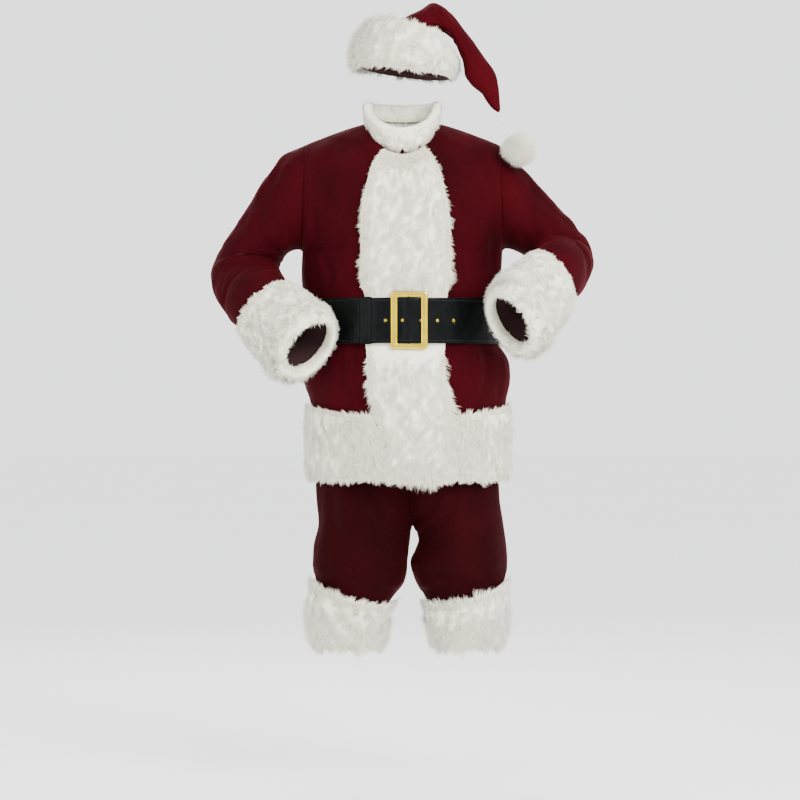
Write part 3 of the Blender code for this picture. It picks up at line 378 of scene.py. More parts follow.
def numbered(rows, columns):
    """Corner numbers of a grid of points, row by row."""
    return np.arange(rows * columns).reshape(rows, columns)


def turns(count):
    """The angles of that many even steps round a circle."""
    return np.arange(count) * TAU / count


def ring_faces(index):
    """Four-cornered faces of a grid of corner numbers that closes across its columns."""
    after = np.roll(index, -1, axis=1)
    return np.stack([index[:-1], after[:-1], after[1:], index[1:]], axis=-1).reshape(-1, 4)


def wall_faces(rows, columns, around):
    """Corner numbers of two grids of rows * columns points, as an outer side, an inner side
    and the strips that close their edges."""
    index = numbered(rows, columns)
    if around:
        index = np.concatenate([index, index[:, :1]], axis=1)
    far = index + rows * columns

    def strips(a, b, c, d):
        return np.stack([a.ravel(), b.ravel(), c.ravel(), d.ravel()], axis=1)

    outer = strips(index[:-1, :-1], index[:-1, 1:], index[1:, 1:], index[1:, :-1])
    inner = strips(far[:-1, :-1], far[1:, :-1], far[1:, 1:], far[:-1, 1:])
    rims = [strips(index[0, :-1], far[0, :-1], far[0, 1:], index[0, 1:]),
            strips(index[-1, :-1], index[-1, 1:], far[-1, 1:], far[-1, :-1])]
    if not around:
        rims += [strips(index[:-1, 0], index[1:, 0], far[1:, 0], far[:-1, 0]),
                 strips(index[:-1, -1], far[:-1, -1], far[1:, -1], index[1:, -1])]
    return outer, inner, np.concatenate(rims)


def turn_outwards(made, merge=0.0):
    """Recalculates the faces of a closed mesh, so that all of them point outwards. Corners
    within the merge distance become one first."""
    build = bmesh.new()
    build.from_mesh(made.data)
    if merge:
        bmesh.ops.remove_doubles(build, verts=build.verts, dist=merge)
    bmesh.ops.recalc_face_normals(build, faces=build.faces)
    build.to_mesh(made.data)
    build.free()
    return made


def wall(name, outer, inner, around, finish, wrong_side):
    """A closed wall between two grids of points."""
    rows, columns = outer.shape[:2]
    points = np.concatenate([outer.reshape(-1, 3), inner.reshape(-1, 3)])
    faces = wall_faces(rows, columns, around)
    return turn_outwards(mesh_of(name, points, faces, (finish, wrong_side), (0, 1, 0)))


def belongs(piece, slot_name, *nodes):
    """The piece is part of the one body and stands for these nodes of the hard model, if any."""
    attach(piece, "root")
    if nodes:
        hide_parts(*nodes)
    return piece


print("a wall of 3 by 3 points has", sum(len(f) for f in wall_faces(3, 3, False)), "faces")

# %% [markdown]
# ## Velvet
# Velvet is a dense, short pile. It is dark where it is looked into and lighter along edges
# that turn away, which is what a shader's sheen does. The pile also lies in patches, so a
# slow noise changes the depth of the red, and a fine noise gives the nap. The wrong side is
# a plain knit with no pile.

# %% Velvet finishes


def node(tree, kind, **settings):
    """A new shader node with some of its settings and unlinked inputs."""
    made = tree.nodes.new(kind)
    for name, value in settings.items():
        if name in made.inputs:
            made.inputs[name].default_value = value
        else:
            setattr(made, name, value)
    return made


def shader_of(name, **values):
    """A new material and its Principled shader, with values set on the shader's sockets."""
    made = bpy.data.materials.new(name)
    made.use_nodes = True
    shader = made.node_tree.nodes["Principled BSDF"]
    for socket, value in values.items():
        shader.inputs[socket.replace("_", " ")].default_value = value
    return made, made.node_tree, shader


def noise(tree, scale, detail=3.0, stretch=(1.0, 1.0, 1.0)):
    """Noise on Object coordinates, scale features to a metre, stretched along the axes."""
    place = node(tree, "ShaderNodeTexCoord")
    mapping = node(tree, "ShaderNodeMapping")
    mapping.inputs["Scale"].default_value = stretch
    grain = node(tree, "ShaderNodeTexNoise", Scale=scale, Detail=detail)
    tree.links.new(place.outputs["Object"], mapping.inputs["Vector"])
    tree.links.new(mapping.outputs["Vector"], grain.inputs["Vector"])
    return grain.outputs["Fac"]


def ramp(tree, factor, *stops):
    """A colour ramp with (place, colour) stops."""
    made = tree.nodes.new("ShaderNodeValToRGB")
    elements = made.color_ramp.elements
    while len(elements) < len(stops):
        elements.new(0.5)
    for element, (place, colour) in zip(elements, stops):
        element.position = place
        element.color = (*colour, 1.0)
    tree.links.new(factor, made.inputs["Fac"])
    return made.outputs["Color"]


def bump(tree, shader, height, distance, strength=1.0, after=None):
    """A bump of that height in metres on the shader, over an earlier one if there is one."""
    made = node(tree, "ShaderNodeBump", Strength=strength, Distance=distance)
    tree.links.new(height, made.inputs["Height"])
    if after is not None:
        tree.links.new(after.outputs["Normal"], made.inputs["Normal"])
    tree.links.new(made.outputs["Normal"], shader.inputs["Normal"])
    return made


def two_tone(name, scale, dark, light, low=0.3, high=0.7, **values):
    """A finish whose colour goes from dark to light with noise of that scale."""
    made, tree, shader = shader_of(name, **values)
    tree.links.new(ramp(tree, noise(tree, scale), (low, dark), (high, light)), shader.inputs["Base Color"])
    return made, tree, shader


def velvet(name, dark, light):
    """Short pile: patches of two reds, a fine nap and a soft sheen."""
    made, tree, shader = shader_of(name, Roughness=0.85, Specular_IOR_Level=0.03, Sheen_Weight=0.10,
                                   Sheen_Roughness=0.32, Sheen_Tint=(0.70, 0.05, 0.08, 1.0))
    patches = noise(tree, 9.0, 4.0, (1.0, 1.0, 0.55))
    tree.links.new(ramp(tree, patches, (0.32, dark), (0.70, light)), shader.inputs["Base Color"])
    slow = bump(tree, shader, noise(tree, 55.0, 2.0), 0.0016)
    bump(tree, shader, noise(tree, 900.0, 2.0), 0.0005, 0.7, slow)
    return made


jacket_velvet = velvet("jacket_velvet", (0.0165, 0.0005, 0.0015), (0.031, 0.0008, 0.0024))
# The trousers' velvet is the jacket's red painted darker: painted shade on the lower suit.
trouser_velvet_painted_shade = velvet("trouser_velvet_painted_shade", (0.0095, 0.0004, 0.0009), (0.0165, 0.0007, 0.0014))
# The hat's velvet is the jacket's red painted lighter: painted light on the hat.
hat_velvet_painted_light = velvet("hat_velvet_painted_light", (0.025, 0.0007, 0.0020), (0.047, 0.0012, 0.0034))
knit_back, tree, shader = two_tone("knit_back", 400.0, (0.016, 0.0015, 0.0025), (0.026, 0.0025, 0.0040),
                                   Roughness=0.95)
bump(tree, shader, noise(tree, 700.0), 0.0006)
print("velvets:", jacket_velvet.name, trouser_velvet_painted_shade.name, hat_velvet_painted_light.name)

# %% [markdown]
# ## Cutting and hanging a panel
# A panel takes a surface, its creases and the size it was cut to. The same steps serve every
# panel: work out the points, push them out or in by the creases, give the cloth its
# thickness, and hide the hard part that it takes the place of. A seam draws the cloth in a little beside it.

# %% One panel of cloth


def eased(grid, bunched):
    """Each bunched point goes to the mean of its four neighbours, 60 times over."""
    for _ in range(60):
        near = np.roll(grid, 1, axis=1) + np.roll(grid, -1, axis=1)
        near[1:-1] += grid[:-2] + grid[2:]
        grid = np.concatenate([grid[:1], grid[1:-1] + bunched[1:-1] * (near[1:-1] / 4 - grid[1:-1]),
                               grid[-1:]])
    return grid


def panel(name, node_name, surface, u, v, facing, relief, finish, area, around=False):
    """Points = surface + relief * normal, with the inner side a cloth's thickness below. In the
    crook of an elbow, where rings lie less than 0.45 of their usual distance apart, they are eased."""
    u, v = np.asarray(u)[None, :], np.asarray(v)[:, None]
    base = surface(u, v)
    normal = slopes(surface, u, v, facing)[0]
    if around:
        apart = np.linalg.norm(np.gradient(base, axis=0), axis=-1)
        bunched = np.clip(1.8 - 4.0 * apart / np.median(apart), 0.0, 1.0)[..., None]
        base, normal = eased(base, bunched), unit(eased(normal, bunched))
    outer = base + np.asarray(relief(u, v, base))[..., None] * normal
    made = wall(name, outer, outer - CLOTH * normal, around, finish, knit_back)
    belongs(made, "velvet", node_name)
    cells = np.linalg.norm(np.cross(np.diff(outer, axis=0)[:, :-1], np.diff(outer, axis=1)[:-1]), axis=-1)
    span = np.linalg.norm(np.diff(outer, axis=0), axis=-1).sum(axis=0).max()
    print(name, "is", round(float(span), 3), "m along,", round(float(cells.sum()), 4),
          "square metres, cut", area)
    return made


def seam_dip(distance, depth=0.0016, reach=0.006):
    """The cloth sinks by depth at a seam: depth * exp(-(distance / reach)^2)."""
    return -depth * np.exp(-(distance / reach) ** 2)


# %% [markdown]
# ## Fronts and back of the jacket
# The cloth hangs from the shoulders, is drawn in under the belt and flares below it, so
# short gathers stand over and under the belt and long soft drags run down from the arms.
# Where the belt and the fur lie on it the velvet is flat.

# %% Jacket panels
FRONT_CREASES = table(CREASE,
    (-215, -262, 82, 60, 12, -5), (-178, -352, 96, 46, 9, -4.8), (-142, -362, 84, 38, 8, -3.8),
    (-122, -350, 92, 60, 10, -3), (-190, -150, 62, 90, 20, -4.5), (-150, -215, 55, 60, 16, -3),
    (-186, -560, 86, 48, 10, -6), (-150, -575, 95, 56, 12, -4.8), (-117, -570, 88, 44, 9, -4),
    (212, -258, 98, 60, 12, -5), (176, -350, 86, 48, 10, -5), (146, -362, 97, 36, 8, -3.6),
    (126, -352, 88, 52, 9, -3), (185, -140, 118, 90, 20, -4.5), (150, -225, 124, 60, 16, -3),
    (196, -565, 94, 56, 12, -7), (165, -570, 86, 46, 10, -4.6), (128, -568, 92, 50, 10, -4.2))
BACK_CREASES = table(CREASE,
    (-185, -345, 94, 60, 11, -5.5), (-140, -355, 86, 50, 10, -4.5), (-85, -350, 92, 70, 12, -5),
    (-35, -360, 88, 45, 10, -4), (20, -345, 93, 80, 12, -5), (75, -358, 86, 50, 10, -4.2),
    (130, -350, 95, 65, 12, -5), (182, -348, 88, 55, 11, -5), (-150, -170, 60, 100, 22, -5),
    (155, -180, 122, 100, 22, -5), (0, -110, 4, 110, 16, -3), (-160, -565, 86, 56, 12, -7),
    (-95, -570, 94, 60, 12, -6), (-30, -560, 88, 50, 11, -6), (50, -572, 93, 60, 12, -6),
    (115, -565, 87, 50, 11, -6), (175, -568, 94, 58, 12, -7))


def covered(x, z, face):
    """1 on bare cloth, falling to 0 under the belt, the hem's fur and the front band."""
    above_belt = step(BELT_TOP - 0.002, BELT_TOP + 0.022, z)
    bare = 1.0 - step(BELT_BOTTOM - 0.022, BELT_BOTTOM + 0.002, z) * (1.0 - above_belt)
    bare = bare * step(-0.655, -0.630, z)
    if face < 0:
        right, left = by_height(BAND, "right", z), by_height(BAND, "left", z)
        under = step(right - 0.012, right + 0.004, x) * (1.0 - step(left - 0.004, left + 0.012, x))
        bare = bare * (1.0 - under)
    return bare


def jacket_relief(face):
    """Creases and slow waves on bare cloth, and a dip beside the side and shoulder seams."""
    def relief(s, v, base):
        rows = FRONT_CREASES if face < 0 else BACK_CREASES
        hang = (0.0030 * waves(base * (1.0, 1.0, 0.45), 0.085, 21)
                + 0.0012 * waves(base * (1, 1, 0.5), 0.035, 22))
        to_side = (1.0 - np.abs(s)) * 0.36
        calm = step(0.0, 0.05, to_side) * step(0.0, 0.06, 2.0 - v)
        bare = covered(base[..., 0], base[..., 2], face)
        shoulder = seam_dip((2.0 - v) * 0.24 + 0 * s, 0.0008) * (np.abs(s) > NECK_SHARE)
        dip = seam_dip(to_side + 0 * v, 0.0007) + shoulder
        return (creases(rows, base[..., 0], base[..., 2]) + hang) * bare * calm + dip * bare
    return relief


GAP = 0.0004
jacket_rows = np.concatenate([np.linspace(0.0, 0.36, 12)[:-1], np.linspace(0.36, 1.0, 58)[:-1],
                              np.linspace(1.0, 2.0, 42)])
front_columns = np.linspace(GAP, 1.0, 46)
for name, face, columns, facing, cut, area, under in (
        ("front_left", -1, front_columns, 1, (0.40, 0.90), 0.28, ["sleeve_left"]),
        ("front_right", -1, -front_columns[::-1], 1, (0.40, 0.90), 0.28, ["sleeve_right"]),
        ("back", 1, np.linspace(-1.0, 1.0, 86), -1, (0.70, 0.92), 0.53,
         ["jacket_front_left", "jacket_front_right"])):
    panel(f"velvet_{name}", f"jacket_{name}", lambda s, v, face=face: jacket(face, s, v), columns,
          jacket_rows, facing, jacket_relief(face), jacket_velvet, area)

# %% [markdown]
# ## Sleeves
# A sleeve is one panel with a seam inside the arm. Bent at the elbow, it folds on the inner
# side and is drawn smooth on the outer. The folds are soft bells on the ring's angle and the
# way along the arm, as a share of the radius, and finer creases lie over them.

# %% Sleeve folds and panels
FOLD = "angle ring spread reach share"
RIGHT_FOLDS = table(FOLD,
    (70, 1.6, 34, 0.55, -0.085), (120, 3, 30, 0.6, -0.075), (60, 3.9, 32, 0.55, 0.06),
    (135, 4.9, 40, 0.6, -0.055), (80, 5.9, 34, 0.5, -0.06), (250, 2.4, 36, 0.7, -0.07),
    (235, 4.8, 36, 0.55, -0.085))
LEFT_FOLDS = table(FOLD,
    (78, 1.3, 32, 0.55, -0.08), (118, 2.5, 30, 0.55, -0.075), (55, 3.4, 32, 0.55, 0.055),
    (140, 4.4, 40, 0.6, -0.045), (75, 5.3, 34, 0.5, -0.06), (245, 2.2, 36, 0.7, -0.07),
    (240, 4.5, 36, 0.55, -0.055))
ARM_CREASES = table(CREASE,
    (150, 235, 20, 70, 10, -5), (190, 290, -12, 65, 9, -5.5), (225, 335, 14, 55, 8, -4.5),
    (130, 345, -28, 60, 9, -4.5), (110, 150, 62, 70, 12, -4), (60, 90, 78, 60, 13, -3.5),
    (185, 110, 74, 75, 12, -4.5), (290, 240, -18, 60, 10, -4.5), (330, 300, 12, 55, 9, -4.5),
    (370, 130, 100, 80, 12, -4), (440, 210, 84, 80, 14, -4), (40, 420, 8, 60, 10, -3.5),
    (240, 430, -8, 60, 9, -4))
ARM_RADIUS, RING_STEP = 0.086, 0.058


def folds_at(rows, angle, along):
    """Depth * exp(-(turn / wide)^2 - (way / long)^2), summed over the rows."""
    total = np.zeros(np.broadcast(angle, along).shape)
    for a, v, wide, long, depth in zip(*(rows[name] for name in FOLD.split())):
        turn = (angle - math.radians(a) + math.pi) % TAU - math.pi
        total += depth * np.exp(-((turn / math.radians(wide)) ** 2) - ((along - v) / long) ** 2)
    return total


def sleeve(side, angle, v):
    """The arm's tube with its large folds: each ring is scaled about its middle."""
    rows, folds = (LEFT_SLEEVE, LEFT_FOLDS) if side > 0 else (RIGHT_SLEEVE, RIGHT_FOLDS)
    ring = tube(rows, angle, v)
    middle = (tube(rows, 0.0, v) + tube(rows, math.pi, v)) / 2
    return middle + (1.0 + folds_at(folds, angle, v))[..., None] * (ring - middle)


def make_sleeve(side, name):
    """A sleeve with creases and waves on its bare stretch, puckers at the armhole's seam and
    none where the rings lie close together: * (distance of the rings / usual distance)^2."""
    rows, start = (LEFT_SLEEVE, LEFT_CUFF_START) if side > 0 else (RIGHT_SLEEVE, RIGHT_CUFF_START)
    last = len(rows["y"]) - 1.0

    def relief(angle, v, base):
        across, along = (angle % TAU) * ARM_RADIUS, v * RING_STEP
        bare = (1.0 - step(start - 0.45, start + 0.1, v)) * step(0.0, 0.5, v)
        pucker = 0.0012 * np.cos(17 * angle + 2 * np.sin(3 * angle)) * np.exp(-((v - 0.25) / 0.22) ** 2)
        hang = 0.0024 * waves(base, 0.070, 31 + side) + 0.0010 * waves(base, 0.03, 33)
        apart = np.linalg.norm(np.gradient(base, axis=0), axis=-1)
        bare = bare * np.clip(apart / (RING_STEP * np.gradient(v, axis=0)), 0.0, 1.0) ** 2
        shape = (creases(ARM_CREASES, across, along) + hang) * bare
        return shape + 0.5 * pucker + seam_dip(v * 0.06 + 0 * angle, 0.0006)

    return panel(f"velvet_sleeve_{name}", f"sleeve_{name}", lambda a, b: sleeve(side, a, b),
                 turns(84), np.linspace(0.004, last, 100), side, relief, jacket_velvet,
                 0.30, True)


make_sleeve(1, "left")
make_sleeve(-1, "right")

# %% [markdown]
# ## Trousers
# Four panels hang from the waistband. They are loose, so the weight of the cloth rests on
# the leg cuffs and the legs blouse over them, with soft pulls running from the crotch.

# %% Trouser panels and waistband
LEG_CREASES = table(CREASE,
    (50, -965, 28, 70, 12, -5), (85, -990, 12, 80, 13, -4), (45, -925, 46, 60, 12, -4.5),
    (110, -1075, -6, 75, 10, -5.5), (165, -1092, 14, 55, 10, -5), (70, -1100, 12, 45, 8, -4.5),
    (200, -1060, -20, 50, 10, -4), (175, -940, 78, 110, 16, -4), (120, -870, 84, 80, 14, -3.5),
    (205, -760, 88, 120, 14, -4))
LAP = 0.02


def make_trouser_panel(side, face):
    """A quarter of the trousers, calm beside its seams and where the leg cuff lies on it."""
    def closed_leg(s, z):
        """Above the crotch the panel goes on 2 percent past the middle seam, under its neighbour."""
        return leg(side, face, s - LAP * (1.0 - s) * step(CROTCH_Z + 0.004, CROTCH_Z + 0.012, z), z)

    def relief(s, z, base):
        across = side * base[..., 0] + (0.004 if face < 0 else -0.012)
        along = z + (0.0 if face < 0 else 0.014)
        free = step(-1.135, -1.100, z)
        calm = step(0.0, 0.05, s) * step(0.0, 0.05, 1.0 - s) * free
        hang = 0.0032 * waves(base * (1.0, 1.0, 0.5), 0.075, 41 + side + 2 * face)
        below = 1.0 - step(CROTCH_Z - 0.02, CROTCH_Z, z)
        dip = (seam_dip(s * 0.2) * below + seam_dip((1 - s) * 0.2)) * free
        return (creases(LEG_CREASES, across, along) + hang) * calm + dip

    side_name, face_name = "left" if side > 0 else "right", "front" if face < 0 else "back"
    rows = np.concatenate([np.linspace(-1.240, -1.130, 10)[:-1], np.linspace(-1.130, -0.830, 50)[:-1],
                           np.linspace(-0.830, WAIST_Z, 14)])
    return panel(f"velvet_trousers_{face_name}_{side_name}", f"trousers_{face_name}_{side_name}",
                 closed_leg, np.linspace(0.001, 0.999, 37), rows,
                 -face * side, relief, trouser_velvet_painted_shade, 0.22)


trousers = [make_trouser_panel(side, face) for side in (1, -1) for face in (-1, 1)]


def waistband(angle, at):
    """An upright ellipse of cloth round the waist, ruffled by its elastic."""
    ruffle = 1.0 + 0.006 * np.sin(38 * angle) * np.sin(math.pi * at)
    return point(0.1706 * ruffle * np.cos(angle), 0.1286 * ruffle * np.sin(angle),
                 WAIST_Z + 0.0005 + 0.0398 * at)


panel("velvet_waistband", "waistband", waistband, turns(152), np.linspace(0, 1, 7), 1,
      lambda a, at, base: -0.002 + 0.0 * (a + at), trouser_velvet_painted_shade, None,
      True)

# %% [markdown]
# ## The stocking hat
# The crown is a long cone of two panels that tips over at the top and falls to one side.
# Where it bends the cloth buckles, and the tail shows a few long soft folds to its tip.

# %% Crown
CROWN_CREASES = table(CREASE,
    (100, 300, 6, 45, 7, -4), (60, 335, -12, 45, 7, -4.5), (120, 365, 14, 40, 6, -4),
    (30, 430, 84, 90, 8, -3.5), (90, 460, 96, 100, 8, -3.5), (140, 250, 70, 60, 10, -3.5),
    (220, 330, 10, 45, 7, -4), (260, 440, 88, 100, 8, -3.5), (310, 300, -10, 50, 8, -4))


def crown(angle, v):
    """The rings of the hat, from the brow to the tip of its tail."""
    return tube(CROWN, angle, v)


def crown_relief(angle, v, base):
    """Creases with the hat's rings as their length, smaller towards the tip."""
    size = np.clip(by_row(CROWN, "depth", v) / 0.06, 0.06, 1.0)
    bare = step(HAT_BAND_END - 0.3, HAT_BAND_END + 0.3, v)
    hang = 0.0022 * waves(base, 0.055, 51) + 0.0008 * waves(base, 0.022, 52)
    seam = seam_dip(np.abs(np.sin(angle)) * by_row(CROWN, "depth", v), 0.0012, 0.004)
    folds = (creases(CROWN_CREASES, (angle % TAU) * 0.062, v * 0.055) + hang) * bare
    return (folds + seam * step(0.0, 0.5, bare)) * size


crown_rows = np.concatenate([np.linspace(0.0, 3.0, 12)[:-1], np.linspace(3.0, 14.0, 84)])
crown_panels = [
    panel(f"velvet_crown_{name}", f"hat_crown_{name}", crown,
          start + np.linspace(0.004, math.pi - 0.004, 38),
          crown_rows, 1, crown_relief, hat_velvet_painted_light, 0.075)
    for name, start, other in (("front", 0.0, "hat_crown_back"), ("back", math.pi, "hat_crown_front"))
]
print("cloth panels:", 3 + 2 + len(trousers) + 1 + len(crown_panels))

# %% [markdown]
# ## Fur
# The trim is a long, soft pile on a knitted backing. Hairs stand in locks: neighbours lean
# to the same point, and the locks lie a little over each other. A hair is a thin spike of
# three faces, and tens of thousands of them are joined into one mesh. Its foot is painted
# darker than its tip, as painted shade deep in the pile. A low bolster under them keeps the
# pile dense, as the short under-hairs of real fur do; it is painted a mid shade.

# %% Fur finish
fur_finish, tree, shader = shader_of("ivory_fur", Roughness=0.75, Specular_IOR_Level=0.25,
                                     Sheen_Weight=0.25, Sheen_Roughness=0.5)
# The ramp runs from a painted shade at the hairs' feet to the fur's ivory at their tips.
shade_and_tone = node(tree, "ShaderNodeAttribute", attribute_name="shade_and_tone")
tree.links.new(ramp(tree, shade_and_tone.outputs["Fac"], (0.0, (0.46, 0.42, 0.285)), (0.45, (0.83, 0.79, 0.615)),
                    (1.0, (0.96, 0.935, 0.79))), shader.inputs["Base Color"])
fur_backing, tree, shader = two_tone("fur_backing", 350.0, (0.55, 0.53, 0.46), (0.72, 0.70, 0.62),
                                     Roughness=0.95)
bump(tree, shader, noise(tree, 600.0), 0.0006)
print("fur finishes:", fur_finish.name, fur_backing.name)

# %% [markdown]
# ## Placing the hairs
# A strip of fur is known on a grid: its points, normals, the two ways along it and its pile.
# A hair starts at a random place on the strip, with more hairs where a cell is larger, and
# reads all of these there. It then leans the way the pile is brushed, and towards the middle
# of its lock.

# %% Hairs on a strip
LOCK, LOCK_STRETCH, GATHER, BOLSTER = 0.010, 0.5, 0.40, 0.55
# The hairs' root value and the bolster's value are painted shade, darker deep in the pile; the tip value is
# the fur's ivory.
BACKING, HAIR_WIDTH, HAIR_ROOT_SHADE_AND_TIP = 0.0015, (0.0011, 0.0021), (0.08, 0.94)
# The pompom's core ball is painted darker, as painted shade inside the pompom.
BOLSTER_SHADE, BALL_SHADE = 0.55, 0.35


def mixed(grid, row, column, f, g):
    """The grid's value at a place inside a cell, weighing its four corners by f and g."""
    f, g = f[:, None], g[:, None]
    return ((grid[row, column] * (1 - f) + grid[row + 1, column] * f) * (1 - g)
            + (grid[row, column + 1] * (1 - f) + grid[row + 1, column + 1] * f) * g)


def rolled(surface, facing, end, back, radius=0.003):
    """The surface up to v = end, then half a turn round its edge and back inside it: place =
    surface + radius * (sin * way ahead - (1 - cos) * normal)."""
    def wrapped(u, v):
        u, v = np.broadcast_arrays(np.asarray(u, float), np.asarray(v, float))
        past = np.clip((v - end) / (1.0 - end), 0.0, 1.0)
        turn = math.pi * np.clip(past / 0.45, 0.0, 1.0)
        at = np.minimum(v / end, 1.0) - back * np.clip((past - 0.45) / 0.55, 0.0, 1.0)
        normal, _, ahead = slopes(surface, u, np.minimum(at, 1.0 - 1e-3), facing)
        past_edge = np.sin(turn)[..., None] * ahead - (1.0 - np.cos(turn))[..., None] * normal
        return surface(u, at) + radius * past_edge
    return wrapped


def hairs(roots, tips, wide, ways, seed):
    """Each hair is three long faces that meet in its tip. Its foot has three corners: root +
    wide / 2 * (cos * one + sin * two), where one and two are square to the hair."""
    line = unit(tips - roots)
    one = unit(np.cross(line, np.random.default_rng(seed).normal(size=roots.shape)))
    two = np.cross(line, one)
    round_foot = [math.cos(t) * one + math.sin(t) * two for t in (0.0, TAU / 3, 2 * TAU / 3)]
    corners = np.stack([roots + wide[:, None] / 2 * r for r in round_foot] + [tips], axis=1)
    shading = np.stack([unit(ways + 0.60 * r) for r in round_foot] + [ways], axis=1)
    first = (np.arange(len(roots)) * 4)[:, None]
    faces = np.concatenate([first + np.array(f) for f in ((0, 1, 3), (1, 2, 3), (2, 0, 3))])
    return corners.reshape(-1, 3), faces, shading.reshape(-1, 3)


def shaded_and_toned(made, shades_and_tones):
    """Writes each corner's value, kept from 0 to 1, for the fur's finish to read: low values are painted
    shade at the hairs' feet and in the pile, high values the fur's ivory, with random tone on each hair.
    """
    shade = made.data.attributes.new("shade_and_tone", "FLOAT", "POINT")
    shade.data.foreach_set("value", shades_and_tones.clip(0, 1).astype(np.float32))


def fur(name, node_name, surface, facing, around, pile, lean, count, seed, grid=(11, 89),
        dense=1.0):
    """Bolster = pile * 0.55 over the backing, thinner at the strip's free edges. Tip = foot +
    length * normal + pile * lean + 0.4 * (lock's middle - foot)."""
    rows, columns = grid
    u, v = np.linspace(0, 1, columns)[None, :], np.linspace(0, 1, rows)[:, None]
    base = surface(u, v)
    normal, across, along = slopes(surface, np.clip(u, 1e-4, 1 - 1e-4), np.clip(v, 1e-4, 1 - 1e-4), facing)
    height = np.broadcast_to(pile(u, v), base.shape[:2])

    backing = base + FUR_LIFT * normal
    cloth = wall(f"{name}_backing", backing + BACKING * normal, backing, False, fur_backing, fur_backing)
    belongs(cloth, "fur", node_name)

    low = base + (FUR_LIFT + 0.0016) * normal
    uneven = (0.85 + 0.25 * waves(base, 0.02, seed)) * step(-0.02, 0.08, np.minimum(v, 1.0 - v))
    if not around:
        uneven = uneven * step(-0.02, 0.10, np.minimum(u, 1.0 - u))
    high = low + (height * BOLSTER * uneven)[..., None] * normal
    outer, inner, rim = (f if facing > 0 else f[:, ::-1] for f in wall_faces(rows, columns, False))
    bolster = np.concatenate([high.reshape(-1, 3), low.reshape(-1, 3)])

    chance = np.random.default_rng(seed)
    cell = np.linalg.norm(np.cross(base[1:, :-1] - base[:-1, :-1], base[:-1, 1:] - base[:-1, :-1]), axis=-1)
    place = chance.choice(cell.size, count, p=(cell / cell.sum()).ravel())
    row, column = place // (columns - 1), place % (columns - 1)
    f, g = chance.random(count), chance.random(count)
    foot, up = mixed(base, row, column, f, g), unit(mixed(normal, row, column, f, g))
    right, ahead = unit(mixed(across, row, column, f, g)), unit(mixed(along, row, column, f, g))
    tall = mixed(height[..., None], row, column, f, g)
    at_u, at_v = (column + g) / (columns - 1), (row + f) / (rows - 1)

    wide_u = np.linalg.norm(np.diff(base, axis=1), axis=-1).sum(axis=1).mean()
    wide_v = np.linalg.norm(np.diff(base, axis=0), axis=-1).sum(axis=0).mean()
    spot = np.stack([at_u * wide_u, LOCK_STRETCH * at_v * wide_v], axis=-1)
    lock = np.floor(spot / LOCK).astype(int) % 61
    shift, way = chance.uniform(0.15, 0.85, (61, 61, 2)), chance.normal(size=(61, 61, 2)) * 0.20
    tall_lock, tone_lock = chance.uniform(0.80, 1.0, (61, 61, 1)), chance.normal(size=(61, 61)) * 0.08
    mine = lock[:, 0], lock[:, 1]
    pull = (np.floor(spot / LOCK) + shift[mine]) * LOCK - spot
    swirl = 0.30 * np.stack([waves(foot, 0.055, seed + 7), waves(foot, 0.055, seed + 8)], axis=-1)
    brushed = np.stack(np.broadcast_arrays(*lean(at_u, at_v)), axis=-1) + swirl + way[mine]
    brushed = brushed + chance.normal(size=(count, 2)) * 0.20
    length = tall * tall_lock[mine] * chance.uniform(0.72, 1.0, (count, 1))
    tilt = (right * brushed[:, :1] + ahead * brushed[:, 1:]) * tall
    gather = right * pull[:, :1] + ahead * pull[:, 1:]
    root = foot + up * (FUR_LIFT + 0.002 + 0.30 * tall)
    tip = foot + up * (FUR_LIFT + length) + tilt + GATHER * gather
    wide = chance.uniform(*HAIR_WIDTH, count) * dense
    shading = unit(up + 0.30 * tilt / tall + 0.22 * chance.normal(size=up.shape))
    points, spikes, ways = hairs(root, tip, wide, shading, seed + 1)

    total = len(bolster)
    made = mesh_of(name, np.concatenate([bolster, points]), (outer, inner, rim, spikes + total),
                   (fur_finish,))
    worn = chance.normal(size=count) * 0.06 + tone_lock[mine] + 0.07 * waves(foot, 0.10, seed + 9)
    # Each hair's foot gets the painted shade of the root value and its tip the ivory; the bolster gets a
    # painted mid shade, and worn adds random tone to each hair and lock.
    shades_and_tones = np.stack([HAIR_ROOT_SHADE_AND_TIP[0] + worn] * 3 + [HAIR_ROOT_SHADE_AND_TIP[1] + worn], axis=1).ravel()
    shaded_and_toned(made, np.concatenate([np.full(total, BOLSTER_SHADE), shades_and_tones]))
    both = np.concatenate([normal.reshape(-1, 3), -normal.reshape(-1, 3), ways])
    made.data.normals_split_custom_set_from_vertices(both.tolist())
    belongs(made, "fur", node_name)
    print(name, "has", count, "hairs on", round(float(cell.sum()), 3), "square metres")
    return made


# %% [markdown]
# ## The fur trims
# Each trim follows the cloth that it is sewn on, so its surface is the same function over a
# part of it, on a scale from 0 to 1 both ways. The pile is long in the middle of a strip and
# short at its edges, and is brushed down, with the edges turned out.

